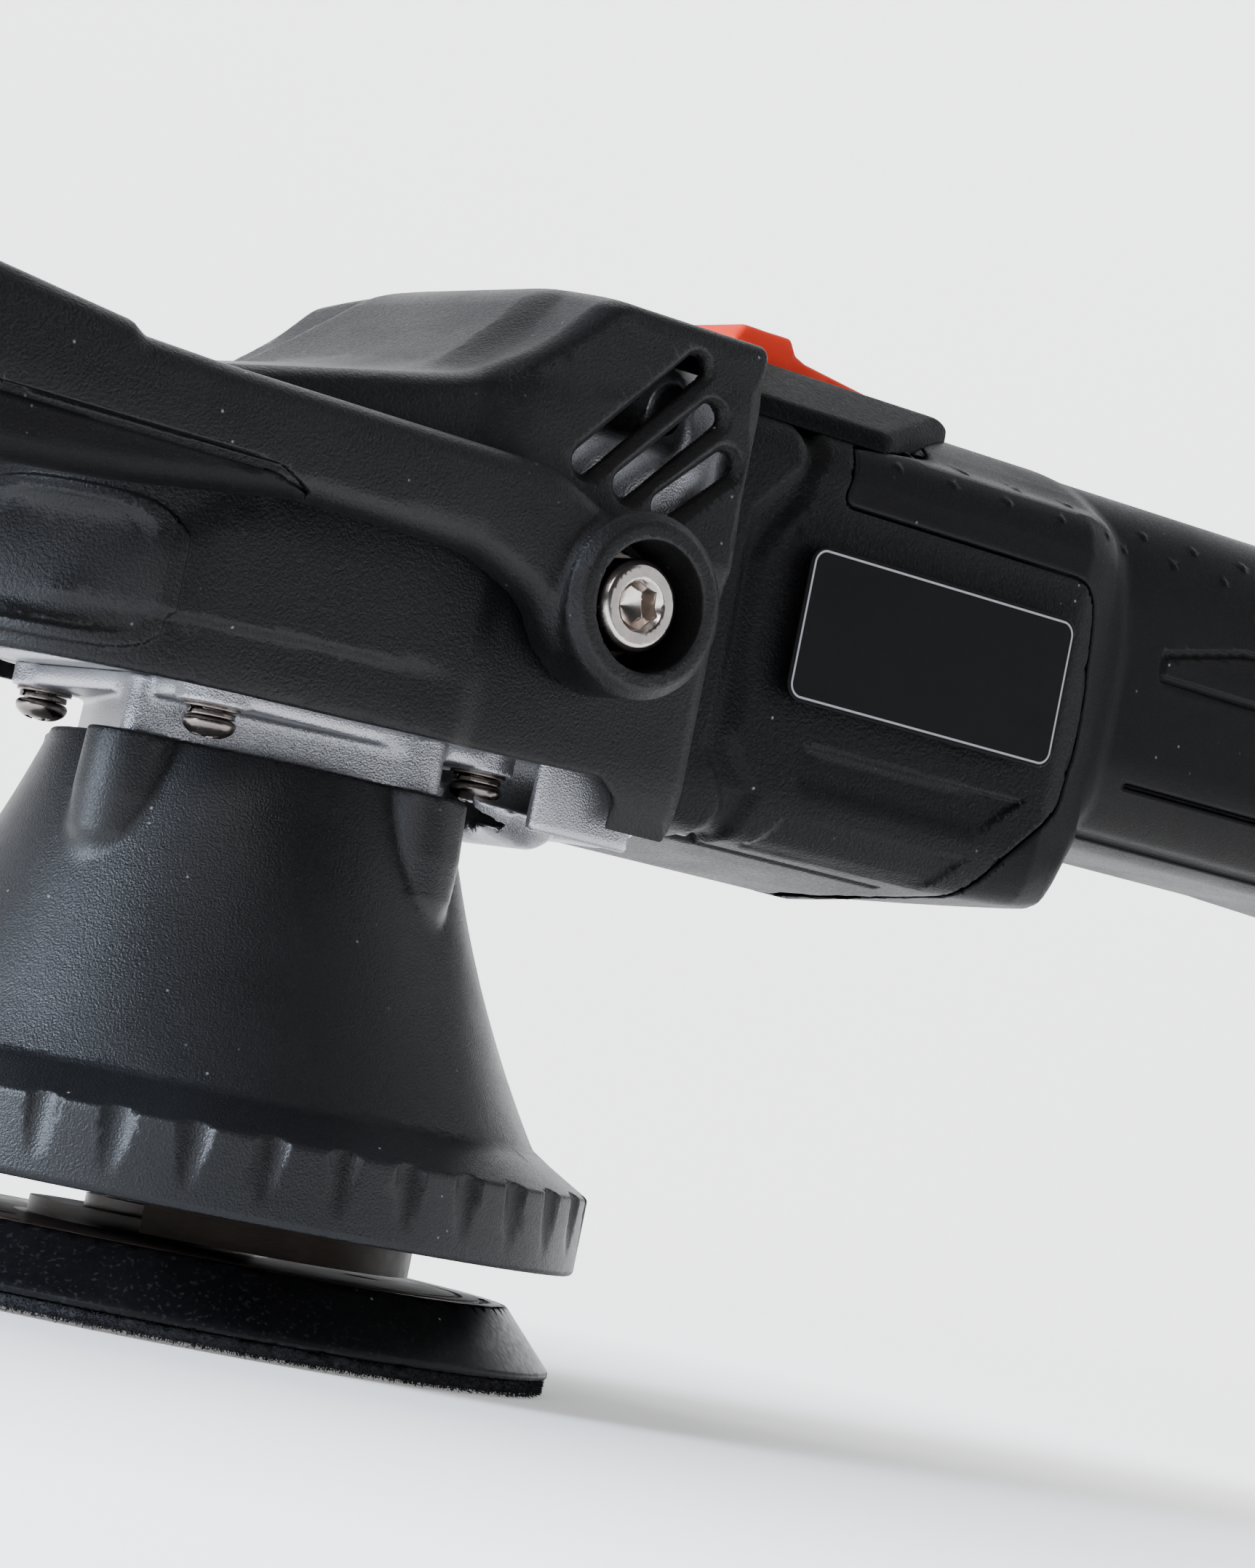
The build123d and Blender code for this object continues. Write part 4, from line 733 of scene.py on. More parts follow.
def shroud_field(x, y, z):
    """The flared shroud with four bosses, a scalloped rim and its screw columns."""
    r = np.hypot(x, y)
    form = polygon(r, z, rounded(SHROUD_OUT, [0, 0.9, 0.9, 2.0] + [0] * (len(SHROUD_OUT) - 4)))
    # Teardrop bosses follow the flank below each corner of the collar
    rho, side = folded(x, y, 4, COLLAR_TURN)
    lean = Vector((0.08, -1.0)).normalized()
    u, v = rho - (NECK[0] + 0.2), z - (NECK_Z + 1.0)
    along = u * lean.x + v * lean.y
    off = np.hypot(u * lean.y - v * lean.x, side)
    size = np.interp(along, [0, 10, 16, 21, 24], [6.6, 6.5, 5.9, 4.2, 1.0])
    form = joined(form, (off - size) * 0.9, 0.9)
    form = both(form, z - NECK_Z, 0.5)
    # Finger scallops round the rim, deepest at the top and fading out below
    rho, side = folded(x, y, 36)
    depth = 1.15 * np.clip((z - RIM_TOP + 8.7) / 8.7, -1, 1.0)
    scoop = np.hypot(side, rho - RIM_R - 4.0 + depth) - 4.0
    form = without(form, both(scoop, RIM_TOP - 8.9 - z), 0.15)
    form = without(form, polygon(r, z, SHROUD_IN), 0.4)
    # Columns inside for the screws
    rho, side = folded(x, y, 4, COLLAR_TURN)
    post = np.hypot(rho - SHROUD_SCREW_R, side)
    form = joined(form, both(post - 4.2, between(z, NECK_Z - 9, NECK_Z)), 0.8)
    form = without(form, r - 21.8, 0.3)
    form = without(form, post - 2.1)
    return without(form, both(post - 3.9, z - NECK_Z + 9), 0.2)


def flange_field(x, y, z):
    """The lower bearing flange: a square plate with screw pads over a turned collar."""
    top, ledge, neck_low = FLANGE_HIGH[2], FLANGE_HIGH[2] - 3.0, FLANGE_LOW[2]
    r = np.hypot(x, y)
    plate = both(both(np.abs(x) - 27.6, np.abs(y) - 27.6, 5.5), between(z, ledge, top), 0.7)
    # The collar is a square turned to stand over the shroud's bosses
    turn = radians(COLLAR_TURN + 45)
    u, v = x * cos(turn) + y * sin(turn), y * cos(turn) - x * sin(turn)
    draft = (z - NECK_Z) * 0.04
    collar = both(both(np.abs(u) - 23.5 + draft, np.abs(v) - 23.5 + draft, 2.4),
                  between(z, NECK_Z, top - 0.5), 0.6)
    form = joined(plate, collar, 1.1)
    # A pad round each screw
    rho, side = folded(x, y, 4, 45)
    post = np.hypot(rho - FLANGE_SCREW_R, side)
    form = joined(form, both(post - 5.0, between(z, ledge - 0.25, top), 0.3), 0.7)
    form = joined(form, both(r - 21.5, between(z, neck_low, NECK_Z + 1)), 1.0)
    form = without(form, both(r - 17.5, z - 79), 0.3)
    form = without(form, r - 13.0, 0.4)
    rho, side = folded(x, y, 4, COLLAR_TURN)
    form = without(form, np.hypot(rho - SHROUD_SCREW_R, side) - 2.0)
    return without(form, post - 2.1, 0.1)


GEAR_TOP = span("gear_housing")[1][2]


def gear_housing_field(x, y, z):
    """The gear casting, with its chamber, bearing seats and screw holes."""
    a = np.abs(y)
    r = np.hypot(x, y)
    foot_z = FLANGE_HIGH[2]
    ring = np.hypot(y, z - MOTOR_Z)
    foot = both(both(np.abs(x) - 33, a - 33, 9), between(z, foot_z, foot_z + 8), 1.2)
    dome = both(r - 29, between(z, foot_z, 130), 5)
    cap = both(r - 13.6, between(z, 110, 138.3), 3)
    drum = both(ring - 33, between(x, 14, SEAM_X), 4)
    form = joined(joined(foot, dome, 4), joined(cap, drum, 4), 4)
    form = without(form, both(x - 32, z - foot_z))
    rear = both(both(a - 35.5, between(z, 80.5, 152.5), 12), between(x, SEAM_X - 9, SEAM_X), 1.2)
    form = joined(form, rear, 3)
    # Stiffening ribs from the drum to the rear flange, and the belly behind the spindle flange
    for angle in (35, 62, 90, 118, 145):
        u = y * cos(radians(angle)) + (z - MOTOR_Z) * sin(radians(angle))
        v = -y * sin(radians(angle)) + (z - MOTOR_Z) * cos(radians(angle))
        rib = both(both(np.abs(v) - 1.1, np.abs(u) - 33 - np.clip(x - 26, 0, 14) * 0.4),
                   between(x, 22, SEAM_X - 2))
        form = joined(form, rib * 0.9, 1.2)
    belly = both(both(a - 29.5, 77.8 - z + np.maximum(33 - x, 0) * 0.2, 8), between(x, 20, 37.5), 3)
    belly = both(both(belly, z - 92), 33.5 + np.maximum(80 - z, 0) * 0.6 - r, 1)
    form = joined(form, belly, 1.5)
    form = without(form, both(both(np.abs(z - 81.4) - 1.3, a - 26, 1.2), x - 31), 0.5)
    form = joined(form, both(brick(x, a, z, ((26, 44), (33.0, 35.0), (80, 96)), 0.8), 34 - r), 1.2)
    form = joined(form, both(np.hypot(x - BOLT_X, z - BOLT_Z) - 9, a - 41.3, 0.6), 2.5)
    # Cheeks that come close to the cover behind its slots
    form = joined(form, brick(x, a, z, ((14, 46), (20, 35.4), (114, 139.5)), 4), 3)
    # Gear chamber, bearing seats, shaft passages and screw holes
    form = without(form, both(r - 25, z - 126), 0.3)
    form = without(form, both(r - 11, between(z, 120, 137.6)), 0.2)
    form = without(form, both(ring - 10, x - 33), 0.2)
    form = without(form, both(ring - 13, between(x, 30, 41.0)), 0.2)
    form = without(form, both(ring - 29, 41 - x), 0.4)
    form = without(form, both(np.hypot(x - BOLT_X, z - BOLT_Z) - 4, 29 - a), 0.3)
    for height in (87.0, 145.0):
        hole = np.hypot(a - 29, z - height)
        form = without(form, both(hole - 4.4, x - 43), 0.4)
        form = without(form, hole - 2.1)
    rho, side = folded(x, y, 4, 45)
    return without(form, both(np.hypot(rho - FLANGE_SCREW_R, side) - 2.05, z - 99.2), 0.1)


def make_drive_castings():
    skirt = cast("dust_shroud", shroud_field, (-61.5, -61.5, RIM_Z - 1), (61.5, 61.5, NECK_Z + 1), 0.5, 0.02)
    flange = cast("spindle_flange", flange_field, (-31, -31, FLANGE_LOW[2] - 1), (31, 31, FLANGE_HIGH[2] + 1),
                  0.45, 0.04)
    gears = cast("gear_casting", gear_housing_field, (-34, -42, 76), (SEAM_X + 0.5, 42, GEAR_TOP + 1), 0.65,
                 0.05)
    return skirt, flange, gears


# ------------------------------------------------------------------ screws and washers
SCREW_AT = 23.3
CORNERS_AT = [(sx * SCREW_AT, sy * SCREW_AT, 0) for sx in (-1, 1) for sy in (-1, 1)]
LEDGE_Z = FLANGE_HIGH[2] - 3.0
HEAD_BASE = LEDGE_Z - 2.0


def pan_screw_field(x, y, z):
    """A pan-head screw pointing up, with a cross recess underneath."""
    r = np.hypot(x, y)
    dome = np.hypot(r, (z - HEAD_BASE - 1.9) * 1.02) - 5.1
    head = both(both(r - 3.9, between(z, HEAD_BASE - 2.9, HEAD_BASE), 0.9), dome, 0.5)
    form = joined(head, both(r - 1.9, between(z, HEAD_BASE - 0.5, 98.6), 0.5))
    blade = np.minimum(both(np.abs(x) - 0.5, np.abs(y) - 2.3), both(np.abs(y) - 0.5, np.abs(x) - 2.3))
    cross = both(joined(blade, r - 0.95, 0.3), z - HEAD_BASE + 1.3 + r * 0.3)
    return without(form, cross, 0.12)


def washer_stack_field(x, y, z):
    """A flat washer with a split spring washer under it."""
    r = np.hypot(x, y)
    flat = both(r - 4.1, between(z, LEDGE_Z - 0.88, LEDGE_Z), 0.12)
    lift = 0.12 * np.arctan2(y, x) / pi
    spring = both(r - 3.55, np.abs(z - HEAD_BASE - 0.55 - lift) - 0.42, 0.15)
    spring = without(spring, both(np.abs(y + 0.5 * (z - HEAD_BASE)) - 0.3, x), 0.05)
    return without(np.minimum(flat, spring), r - 2.1, 0.1)


HEX = 3.0
WASHER = 1.0
HEAD_HEIGHT = 8.0


def cap_screw_field(x, y, z):
    """Both handle bolts, mirrored: M8 cap screws with a hexagon socket."""
    a = np.abs(y)
    u, v = x - BOLT_X, z - BOLT_Z
    r = np.hypot(u, v)
    face = CUP_FLOOR + WASHER + HEAD_HEIGHT
    head = both(both(r - 6.7, between(a, face - HEAD_HEIGHT, face), 0.2), (r - 6.7 + a - face + 0.9) / 1.414,
                0.25)
    # Fine knurling round the head
    angle = np.arctan2(v, u)
    knurl = (r - 6.62 + 0.09 * np.cos(angle * 46)) * 0.8
    head = both(head, np.where(a < face - 1.1, knurl, head))
    form = np.minimum(head, both(r - 3.95, between(a, 30, face - 7.5), 0.4))
    turn = [radians(14 + 60 * k) for k in range(3)]
    flats = np.maximum.reduce([np.abs(u * cos(t) + v * sin(t)) - HEX for t in turn])
    socket = both(flats, face - 4.0 - a - 0.42 * (3.2 - r))
    funnel = (r - 3.9 + face - a) / 1.414
    return without(form, joined(socket, both(funnel, face - 1.2 - a), 0.05), 0.1)


def big_washer_field(x, y, z):
    """The flat washer under each handle bolt."""
    a = np.abs(y)
    r = np.hypot(x - BOLT_X, z - BOLT_Z)
    return without(both(r - 8.0, between(a, CUP_FLOOR, CUP_FLOOR + WASHER), 0.25), r - 4.05, 0.15)


def make_hardware():
    edge = HEAD_BASE - 3.2
    screws = cast("spindle_flange_screws", pan_screw_field, (-4.2, -4.2, edge), (4.2, 4.2, 99), 0.17, 0.05,
                  CORNERS_AT)
    washers = cast("spring_washers", washer_stack_field, (-4.3, -4.3, HEAD_BASE - 0.3),
                   (4.3, 4.3, LEDGE_Z + 0.2), 0.14, 0.05,
                   CORNERS_AT)
    bolts = cast("bail_bolts", cap_screw_field, (BOLT_X - 6.7, -52, BOLT_Z - 6.7),
                 (BOLT_X + 6.7, 52, BOLT_Z + 6.7), 0.17, 0.05)
    rings = cast("bail_washers", big_washer_field, (BOLT_X - 8.2, -44, BOLT_Z - 8.2),
                 (BOLT_X + 8.2, 44, BOLT_Z + 8.2), 0.25, 0.05)
    return screws, washers, bolts, rings


# ------------------------------------------------------------------ slide switch and label
SADDLE_SIDE = [(SHELL_LOW[0] + 0.4, 140), (SHELL_LOW[0] + 0.4, BEZEL_TOP), (99.5, BEZEL_TOP), (108.6, 157.0),
               (110, 140)]
SADDLE_SECTION = [(-9, 140), (-9, BEZEL_TOP), (12.5, BEZEL_TOP), (16.5, 159.3), (33.2, 151.2), (35.6, 148.4),
                  (35.6, 140)]
SADDLE_PLAN = rounded([(40, -9), (109, -9), (108.5, 9), (103, 16), (90.5, 25.5), (77.5, 34.6), (40, 34.6)],
                      [0, 0, 4, 6, 10, 3, 0])


def bezel_field(x, y, z):
    """The saddle round the slide switch, hugging the top of the barrel."""
    a = np.abs(y)
    form = both(polygon(a, z, SADDLE_SECTION), polygon(x, z, SADDLE_SIDE), 2.0)
    form = both(form, polygon(x, a, SADDLE_PLAN), 1.6)
    form = without(form, housing_form(x, y, z) + 0.06)
    form = without(form, brick(x, y, z, ((57.2, 107.2), (-10.4, 10.4), (157.4, 170)), 1.0), 0.5)
    return without(form, brick(x, y, z, ((66, 100), (-5, 5), (140, 165))), 0.2)


SLIDER_SIDE = rounded([(64.0, 157.9), (106.0, 157.9), (106.0, 158.7), (78.6, 162.4), (76.6, 163.2),
                       (75.4, 165.6), (65.8, 165.6),
                       (64.0, 163.2)], [0.3, 0.3, 0.2, 1.2, 0.8, 1.0, 1.2, 0.8])


def slider_field(x, y, z):
    """The slide switch: a peaked cap on a foot."""
    a = np.abs(y)
    lean = np.maximum(z - 158, 0) * 0.18
    form = both(polygon(x, z, SLIDER_SIDE), a - 9.9 + lean, 0.9)
    # The peak is dished for a fingertip, and ridges climb the slope behind it
    form = without(form, np.sqrt((x - 70.6) ** 2 + (y * 0.42) ** 2 + (z - 175.6) ** 2) - 10.35, 0.5)
    for k in range(6):
        x0 = 79.4 + 4.2 * k
        step = both(-line(x, z, (x0, 162.0 - 0.56 * k), (x0 + 1.6, 161.5 - 0.56 * k)),
                    between(x, x0, x0 + 1.7), 0.1)
        form = without(form, both(step, a - 7.8, 0.3), 0.25)
    foot = brick(x, y, z, ((74, 94), (-4, 4), (149, 158.4)), 0.4)
    return np.minimum(form, foot)


LABEL_LOW, LABEL_HIGH = span("label_plate")


def label_field(x, y, z):
    """The blank label plate."""
    outline = both(between(x, LABEL_LOW[0], LABEL_HIGH[0]), between(z, LABEL_LOW[2], LABEL_HIGH[2]), 2.8)
    return both(outline, between(y, LABEL_LOW[1] - 0.5, LABEL_HIGH[1] - 0.2), 0.1)


# ------------------------------------------------------------------ backing plate
PLATE_LOW, PLATE_HIGH = span("backing_foam")
PLATE_X = (PLATE_LOW[0] + PLATE_HIGH[0]) / 2
PLATE_Y = (PLATE_LOW[1] + PLATE_HIGH[1]) / 2
PLATE_R = (PLATE_HIGH[0] - PLATE_LOW[0]) / 2
HOOK_TOP = PLATE_LOW[2]
FOAM_TOP = PLATE_HIGH[2]
DISC_TOP = span("backing_disc")[1][2]


def foam_field(x, y, z):
    """The plate's tapered urethane body."""
    r = np.hypot(x - PLATE_X, y - PLATE_Y)
    return polygon(r, z, rounded([(0, HOOK_TOP), (PLATE_R, HOOK_TOP), (PLATE_R, HOOK_TOP + 0.9),
                                  (54.6, FOAM_TOP + 0.7),
                                  (51.6, FOAM_TOP + 0.7), (50.9, FOAM_TOP), (0, FOAM_TOP)],
                                 [0, 0.3, 0.8, 0.9, 0.4, 0.3, 0]))


def disc_field(x, y, z):
    """The stiffening disc, with a ring groove and six vent holes."""
    r = np.hypot(x - PLATE_X, y - PLATE_Y)
    form = both(r - 50.6, between(z, FOAM_TOP + 0.02, DISC_TOP), 0.25)
    form = without(form, both(np.abs(r - 47.5) - 0.4, DISC_TOP - 0.28 - z), 0.15)
    for k in range(6):
        angle = radians(60 * k + 20)
        hole = np.hypot(x - PLATE_X - 33 * cos(angle), y - PLATE_Y - 33 * sin(angle))
        form = without(form, both(hole - 2.6, DISC_TOP - 0.5 - z), 0.2)
    return without(form, r - 19.1, 0.1)


def make_hook_pile():
    """A woven disc with a fuzz of hooks round its edge and over its lower face."""
    rng = np.random.default_rng(7)
    base = cast("hook_disc", lambda x, y, z: both(np.hypot(x - PLATE_X, y - PLATE_Y) - PLATE_R + 0.75,
                                                  between(z, 0.75, HOOK_TOP - 0.02), 0.3),
                (PLATE_X - PLATE_R, PLATE_Y - PLATE_R, 0),
                (PLATE_X + PLATE_R, PLATE_Y + PLATE_R, HOOK_TOP + 0.3), 0.6, 0.2)
    points, faces = [], []

    def strand(root, tip, size):
        run = tip - root
        side = np.cross(run, rng.normal(size=3))
        side *= size / max(np.linalg.norm(side), 1e-9)
        other = np.cross(run, side)
        other *= size / max(np.linalg.norm(other), 1e-9)
        first = len(points)
        middle = root + run * 0.6 + np.array((0, 0, 0.12)) * rng.uniform(-1, 1)
        for centre, scale in ((root, 1.0), (middle, 0.8)):
            for k in range(3):
                corner = centre + (side * cos(2.1 * k) + other * sin(2.1 * k)) * scale
                corner[2] = max(corner[2], 0.02)
                points.append(corner)
        tip[2] = max(tip[2], 0.02)
        points.append(tip)
        for k in range(3):
            n = (k + 1) % 3
            faces.append((first + k, first + n, first + 3 + n, first + 3 + k))
            faces.append((first + 3 + k, first + 3 + n, first + 6))

    for _ in range(11000):
        angle = rng.uniform(0, 2 * pi)
        out = np.array((cos(angle), sin(angle), 0))
        height = rng.uniform(0.35, 2.5)
        reach = rng.uniform(0.35, 0.8) * (1.0 if rng.random() < 0.85 else 0.5)
        root = np.array((PLATE_X, PLATE_Y, height)) + out * (PLATE_R - 0.85)
        drift = rng.normal(size=3) * (0.28, 0.28, 0.22)
        strand(root, root + out * reach + drift - out * max(0, drift @ out), rng.uniform(0.045, 0.085))
    for _ in range(14000):
        radius, angle = PLATE_R * 0.985 * rng.random() ** 0.5, rng.uniform(0, 2 * pi)
        root = np.array((PLATE_X + radius * cos(angle), PLATE_Y + radius * sin(angle), 0.85))
        strand(root, root + np.array((*rng.normal(size=2) * 0.3, -rng.uniform(0.55, 0.8))), 0.09)
    pile = mesh_of("hook_pile", points, faces)
    return base, pile


# ------------------------------------------------------------------ battery and its controls
PACK_MIDDLE_Z = 118
PACK_HALF_HEIGHT = 56


def shell_block(x, y, z, inset=0.0):
    """The pack's block with round edges."""
    across = np.abs(y) + inset - PACK_HIGH[1]
    upright = np.abs(z - PACK_MIDDLE_Z) + inset - PACK_HALF_HEIGHT
    section = both(both(across, upright, 11), (across + upright + 9) / 1.414, 4)
    return both(section, x + inset - PACK_END, 6)


def grip_ribbed(form, x, a, z, low, high):
    """The pack's side with seven grooves cut from x low to high, for the hand."""
    for k in range(7):
        rib = both(np.abs(z - 84 - 6.2 * k) - 1.1, both(between(x, low, high), 36.2 - a))
        form = without(form, rib, 0.4)
    return form


def pack_front_field(x, y, z):
    """The pack's front shell, with the channel for the rail and the button pockets."""
    a = np.abs(y)
    form = both(shell_block(x, y, z), between(x, PACK_LOW[0], PACK_HIGH[0] - 0.1), 0.5)
    form = without(form, both(shell_block(x, y, z, 2.4), 306 - x), 0.3)
    # Channel for the rail, open downwards
    form = without(form, both(both(x - 296.6, a - 20.4), z - 160.4), 0.3)
    form = without(form, both(both(between(x, 296.6, 300.4), a - 24.4), z - 160.4), 0.3)
    form = without(form, brick(x, y, z, ((299, 304), (-13, 13), (55, 119))), 0.3)
    form = without(form, brick(x, a, z, ((315.7, 327.3), (32, 45), (139.7, 162.3)), 0.6), 0.4)
    return grip_ribbed(form, x, a, z, 308, 329.0)


def pack_rear_field(x, y, z):
    """The pack's rear shell."""
    a = np.abs(y)
    form = both(shell_block(x, y, z), PACK_HIGH[0] + 0.1 - x, 0.5)
    form = without(form, both(shell_block(x, y, z, 2.4), 325 - x), 0.3)
    form = grip_ribbed(form, x, a, z, 331.0, 350)
    # A sunk blank panel, the gauge's frame and its button hole
    form = without(form, brick(x, y, z, ((359.4, 362), (-24, 24), (82, 132)), 2.5), 0.3)
    frame_rim = both(np.abs(both(a - 13.6, np.abs(z - 150) - 10.5, 3)) - 0.5, 359.5 - x)
    form = without(form, frame_rim, 0.3)
    return without(form, brick(x, y, z, ((356, 362), (-3.2, 3.2), (142.0, 148.4))), 0.2)


def button_field(side):
    """A release button on one side: dished, ridged and pocketed for its spring."""
    def field(x, y, z):
        out = side * y
        dish = np.hypot(x - 321.5, out - 52.0) - 15.1
        form = brick(x, out, z, ((316, 327), (35, 37.6), (140, 162)), 0.8)
        form = without(form, both(dish, 38.5 - out - 2), 0.3)
        for k in range(4):
            form = without(form, both(np.abs(z - 145.5 - 3.6 * k) - 0.55,
                                      both(36.5 - out, np.abs(x - 321.5) - 4)), 0.2)
        return without(form, both(np.hypot(x - 321.5, z - 151) - 2.7, out - 36.4), 0.1)
    return field


def gauge_button_field(x, y, z):
    """The dished charge gauge button."""
    form = brick(x, y, z, ((356.6, 360.5), (-3, 3), (142.2, 148.2)), 0.7)
    return without(form, np.sqrt((x - 366.3) ** 2 + y ** 2 + (z - 145.2) ** 2) - 6.1, 0.2)


def gauge_window_field(x, y, z):
    """The gauge's lens, with four pips."""
    form = brick(x, y, z, ((360.0, 360.4), (-11, 11), (151, 156)), 0.15)
    for k in range(4):
        form = without(form, both(np.hypot(y + 7.5 - 5 * k, z - 153.5) - 1.1, 360.3 - x), 0.05)
    return form


def dial_field(x, y, z):
    """The knurled speed dial."""
    u, v = x - DIAL_X, z - 144.0
    r = np.hypot(u, v)
    grip = r - 11.75 + 0.28 * np.cos(30 * np.arctan2(v, u))
    form = both(grip * 0.8, np.abs(y) - 3.2, 0.7)
    for k in range(6):
        angle = radians(60 * k)
        mark = np.hypot(u - 8.2 * cos(angle), v - 8.2 * sin(angle)) - 0.9
        form = without(form, both(mark, 2.8 - np.abs(y)), 0.1)
    return without(form, r - 1.85, 0.2)


def make_controls():
    """The remaining moulded pieces, each under the CAD node that it stands for."""
    high = PACK_HIGH[1] + 0.5
    return {
        "switch_bezel": cast("switch_saddle", bezel_field, (SHELL_LOW[0], -35.5, 146), (110, 35.5, 161), 0.45,
                             0.03),
        "slide_switch": cast("switch_slider", slider_field, (63.5, -10.5, 148.5), (106.5, 10.5, 166), 0.28,
                             0.05),
        "label_plate": cast("blank_label", label_field, (62, -40.8, 107), (117, -39, 132), 0.25, 0.2),
        "speed_dial": cast("thumb_dial", dial_field, (219.5, -3.6, 131.5), (244.5, 3.6, 156.5), 0.3, 0.05),
        "backing_foam": cast("plate_foam", foam_field, (PLATE_X - 63, PLATE_Y - 63, 2),
                             (PLATE_X + 63, PLATE_Y + 63, 13), 0.6, 0.1),
        "backing_disc": cast("plate_disc", disc_field, (PLATE_X - 52, PLATE_Y - 52, 10.6),
                             (PLATE_X + 52, PLATE_Y + 52, 12.6),
                             0.3, 0.3),
        "battery_shell_front": cast("pack_front", pack_front_field, (294, -high, 61), (330.5, high, 175), 0.6,
                                    0.1),
        "battery_shell_rear": cast("pack_rear", pack_rear_field, (329.5, -high, 61), (360.5, high, 175), 0.6,
                                   0.1),
        "release_button_left": cast("left_button", button_field(-1), (315.5, -38, 139.5),
                                    (327.5, -34.5, 162.5), 0.25, 0.1),
        "release_button_right": cast("right_button", button_field(1), (315.5, 34.5, 139.5),
                                     (327.5, 38, 162.5), 0.25, 0.1),
        "gauge_button": cast("gauge_key", gauge_button_field, (356, -3.5, 141.7), (361, 3.5, 148.7), 0.2,
                             0.1),
        "gauge_window": cast("gauge_lens", gauge_window_field, (359.8, -11.3, 150.7), (360.6, 11.3, 156.3),
                             0.12, 0.3),
    }


# ------------------------------------------------------------------ stage, light and camera
CAMERA_PLACE = (-0.39604, -0.62542, 0.03800)
CAMERA_AZIMUTH = 36.54
CAMERA_PITCH = 4.04
CAMERA_ROLL = 11.386
CAMERA_LENS = 116.19
GLOW_LOW, GLOW_HIGH = 0.25, 2.0


def make_stage():
    """A pale round floor that curves up into a wall behind the object, all one surface."""
    profile = [(1.5, 0.0)] + [(1.5 + 1.0 * sin(radians(t)),
                               1.0 - 1.0 * cos(radians(t))) for t in (1, 3, 6, *range(10, 91, 5))]
    profile.append((2.5, 2.6))
    turns = 96
    facing = radians(90 - CAMERA_AZIMUTH)
    mesh = bpy.data.meshes.new("floor")
    built = bmesh.new()
    angles = [facing + 2 * pi * k / turns for k in range(-turns // 2, turns // 2)]
    base = [built.verts.new((profile[0][0] * cos(t), profile[0][0] * sin(t), 0)) for t in angles]
    built.faces.new(base)
    reach = [k for k in range(turns) if abs(k - turns // 2) <= 30]
    rows = [[base[k] for k in reach]]
    for r, z in profile[1:]:
        rows.append([built.verts.new((r * cos(angles[k]), r * sin(angles[k]), z)) for k in reach])
    for low, high in zip(rows, rows[1:]):
        for k in range(len(reach) - 1):
            built.faces.new((low[k], low[k + 1], high[k + 1], high[k])).smooth = True
    built.to_mesh(mesh)
    floor = bpy.data.objects.new("floor", mesh)
    bpy.context.scene.collection.objects.link(floor)
    g = Graph("stage_paper")
    tone = g.span(g.noise(3, 3.0), 0.3, 0.7, 0.0, 1.0)
    g.set(Base_Color=g.mix(tone, rgb(0.80, 0.80, 0.80), rgb(0.82, 0.82, 0.82)), Roughness=0.9)
    g.shader.inputs["Specular IOR Level"].default_value = 0.0
    g.shader.inputs["Emission Color"].default_value = rgb(1.0, 1.0, 1.0)
    # The glow is low beside the object, where it paints a shadow round it, and fades away from the strip of
    # floor and wall behind it
    split = g.nodes.new("ShaderNodeSeparateXYZ")
    g.links.new(g.place, split.inputs[0])
    east, north, height = split.outputs
    azimuth = radians(CAMERA_AZIMUTH)
    ahead = g.sums("ADD", g.sums("MULTIPLY", east, sin(azimuth)), g.sums("MULTIPLY", north, cos(azimuth)))
    aside = g.sums("SUBTRACT", g.sums("MULTIPLY", east, cos(azimuth)),
                   g.sums("MULTIPLY", north, sin(azimuth)))
    away = g.sums("SQRT", g.sums("ADD", g.sums("MULTIPLY", ahead, ahead), g.sums("MULTIPLY", aside, aside)),
                  0.0)
    # The glow dimmed within 0.3 m of the object is a painted shadow under and round it
    glow_with_painted_shadow = g.sums("MULTIPLY", g.span(away, 0.08, 0.30, 0, 1),
                  g.span(g.sums("ABSOLUTE", aside, 0.0), 0.7, 1.2, 1, 0))
    glow_with_painted_shadow = g.sums("MULTIPLY", glow_with_painted_shadow, g.span(ahead, -0.75, -0.4, 0, 1))
    glow_with_painted_shadow = g.sums("MULTIPLY", glow_with_painted_shadow, g.span(height, 0.95, 1.5, 1, 0))
    g.set(Emission_Strength=g.span(glow_with_painted_shadow, 0, 1, GLOW_LOW, GLOW_HIGH))
    mesh.materials.append(g.material)


def lamp(name, place, aim, size, power, colour=(1, 1, 1)):
    """A rectangular soft light."""
    light = bpy.data.lights.new(name, "AREA")
    light.shape = "RECTANGLE"
    light.size, light.size_y = size
    light.energy = power
    light.color = colour
    holder = bpy.data.objects.new(name, light)
    holder.location = place
    holder.rotation_euler = (Vector(aim) - Vector(place)).to_track_quat("-Z", "Y").to_euler()
    bpy.context.scene.collection.objects.link(holder)


def make_lights():
    """A dim studio, lit softly from above and more strongly from the left."""
    world = bpy.data.worlds.new("studio")
    bpy.context.scene.world = world
    world.use_nodes = True
    back = world.node_tree.nodes["Background"]
    back.inputs["Color"].default_value = rgb(0.88, 0.92, 1.0)
    back.inputs["Strength"].default_value = 0.05
    lamp("overhead", (0.10, 0.05, 1.7), (0.10, 0.05, 0.1), (1.8, 1.8), 6)
    lamp("left_side", (-1.2, 0.10, 0.55), (0, 0, 0.1), (0.35, 0.8), 58, (0.74, 0.84, 1.0))
    lamp("front_left", (-1.0, -1.0, 0.85), (0, 0, 0.1), (0.5, 0.5), 7, (1.0, 0.97, 0.98))
    lamp("backdrop", (0.9, 1.2, 2.2), (1.2, 1.7, 0.8), (1.6, 0.6), 20)


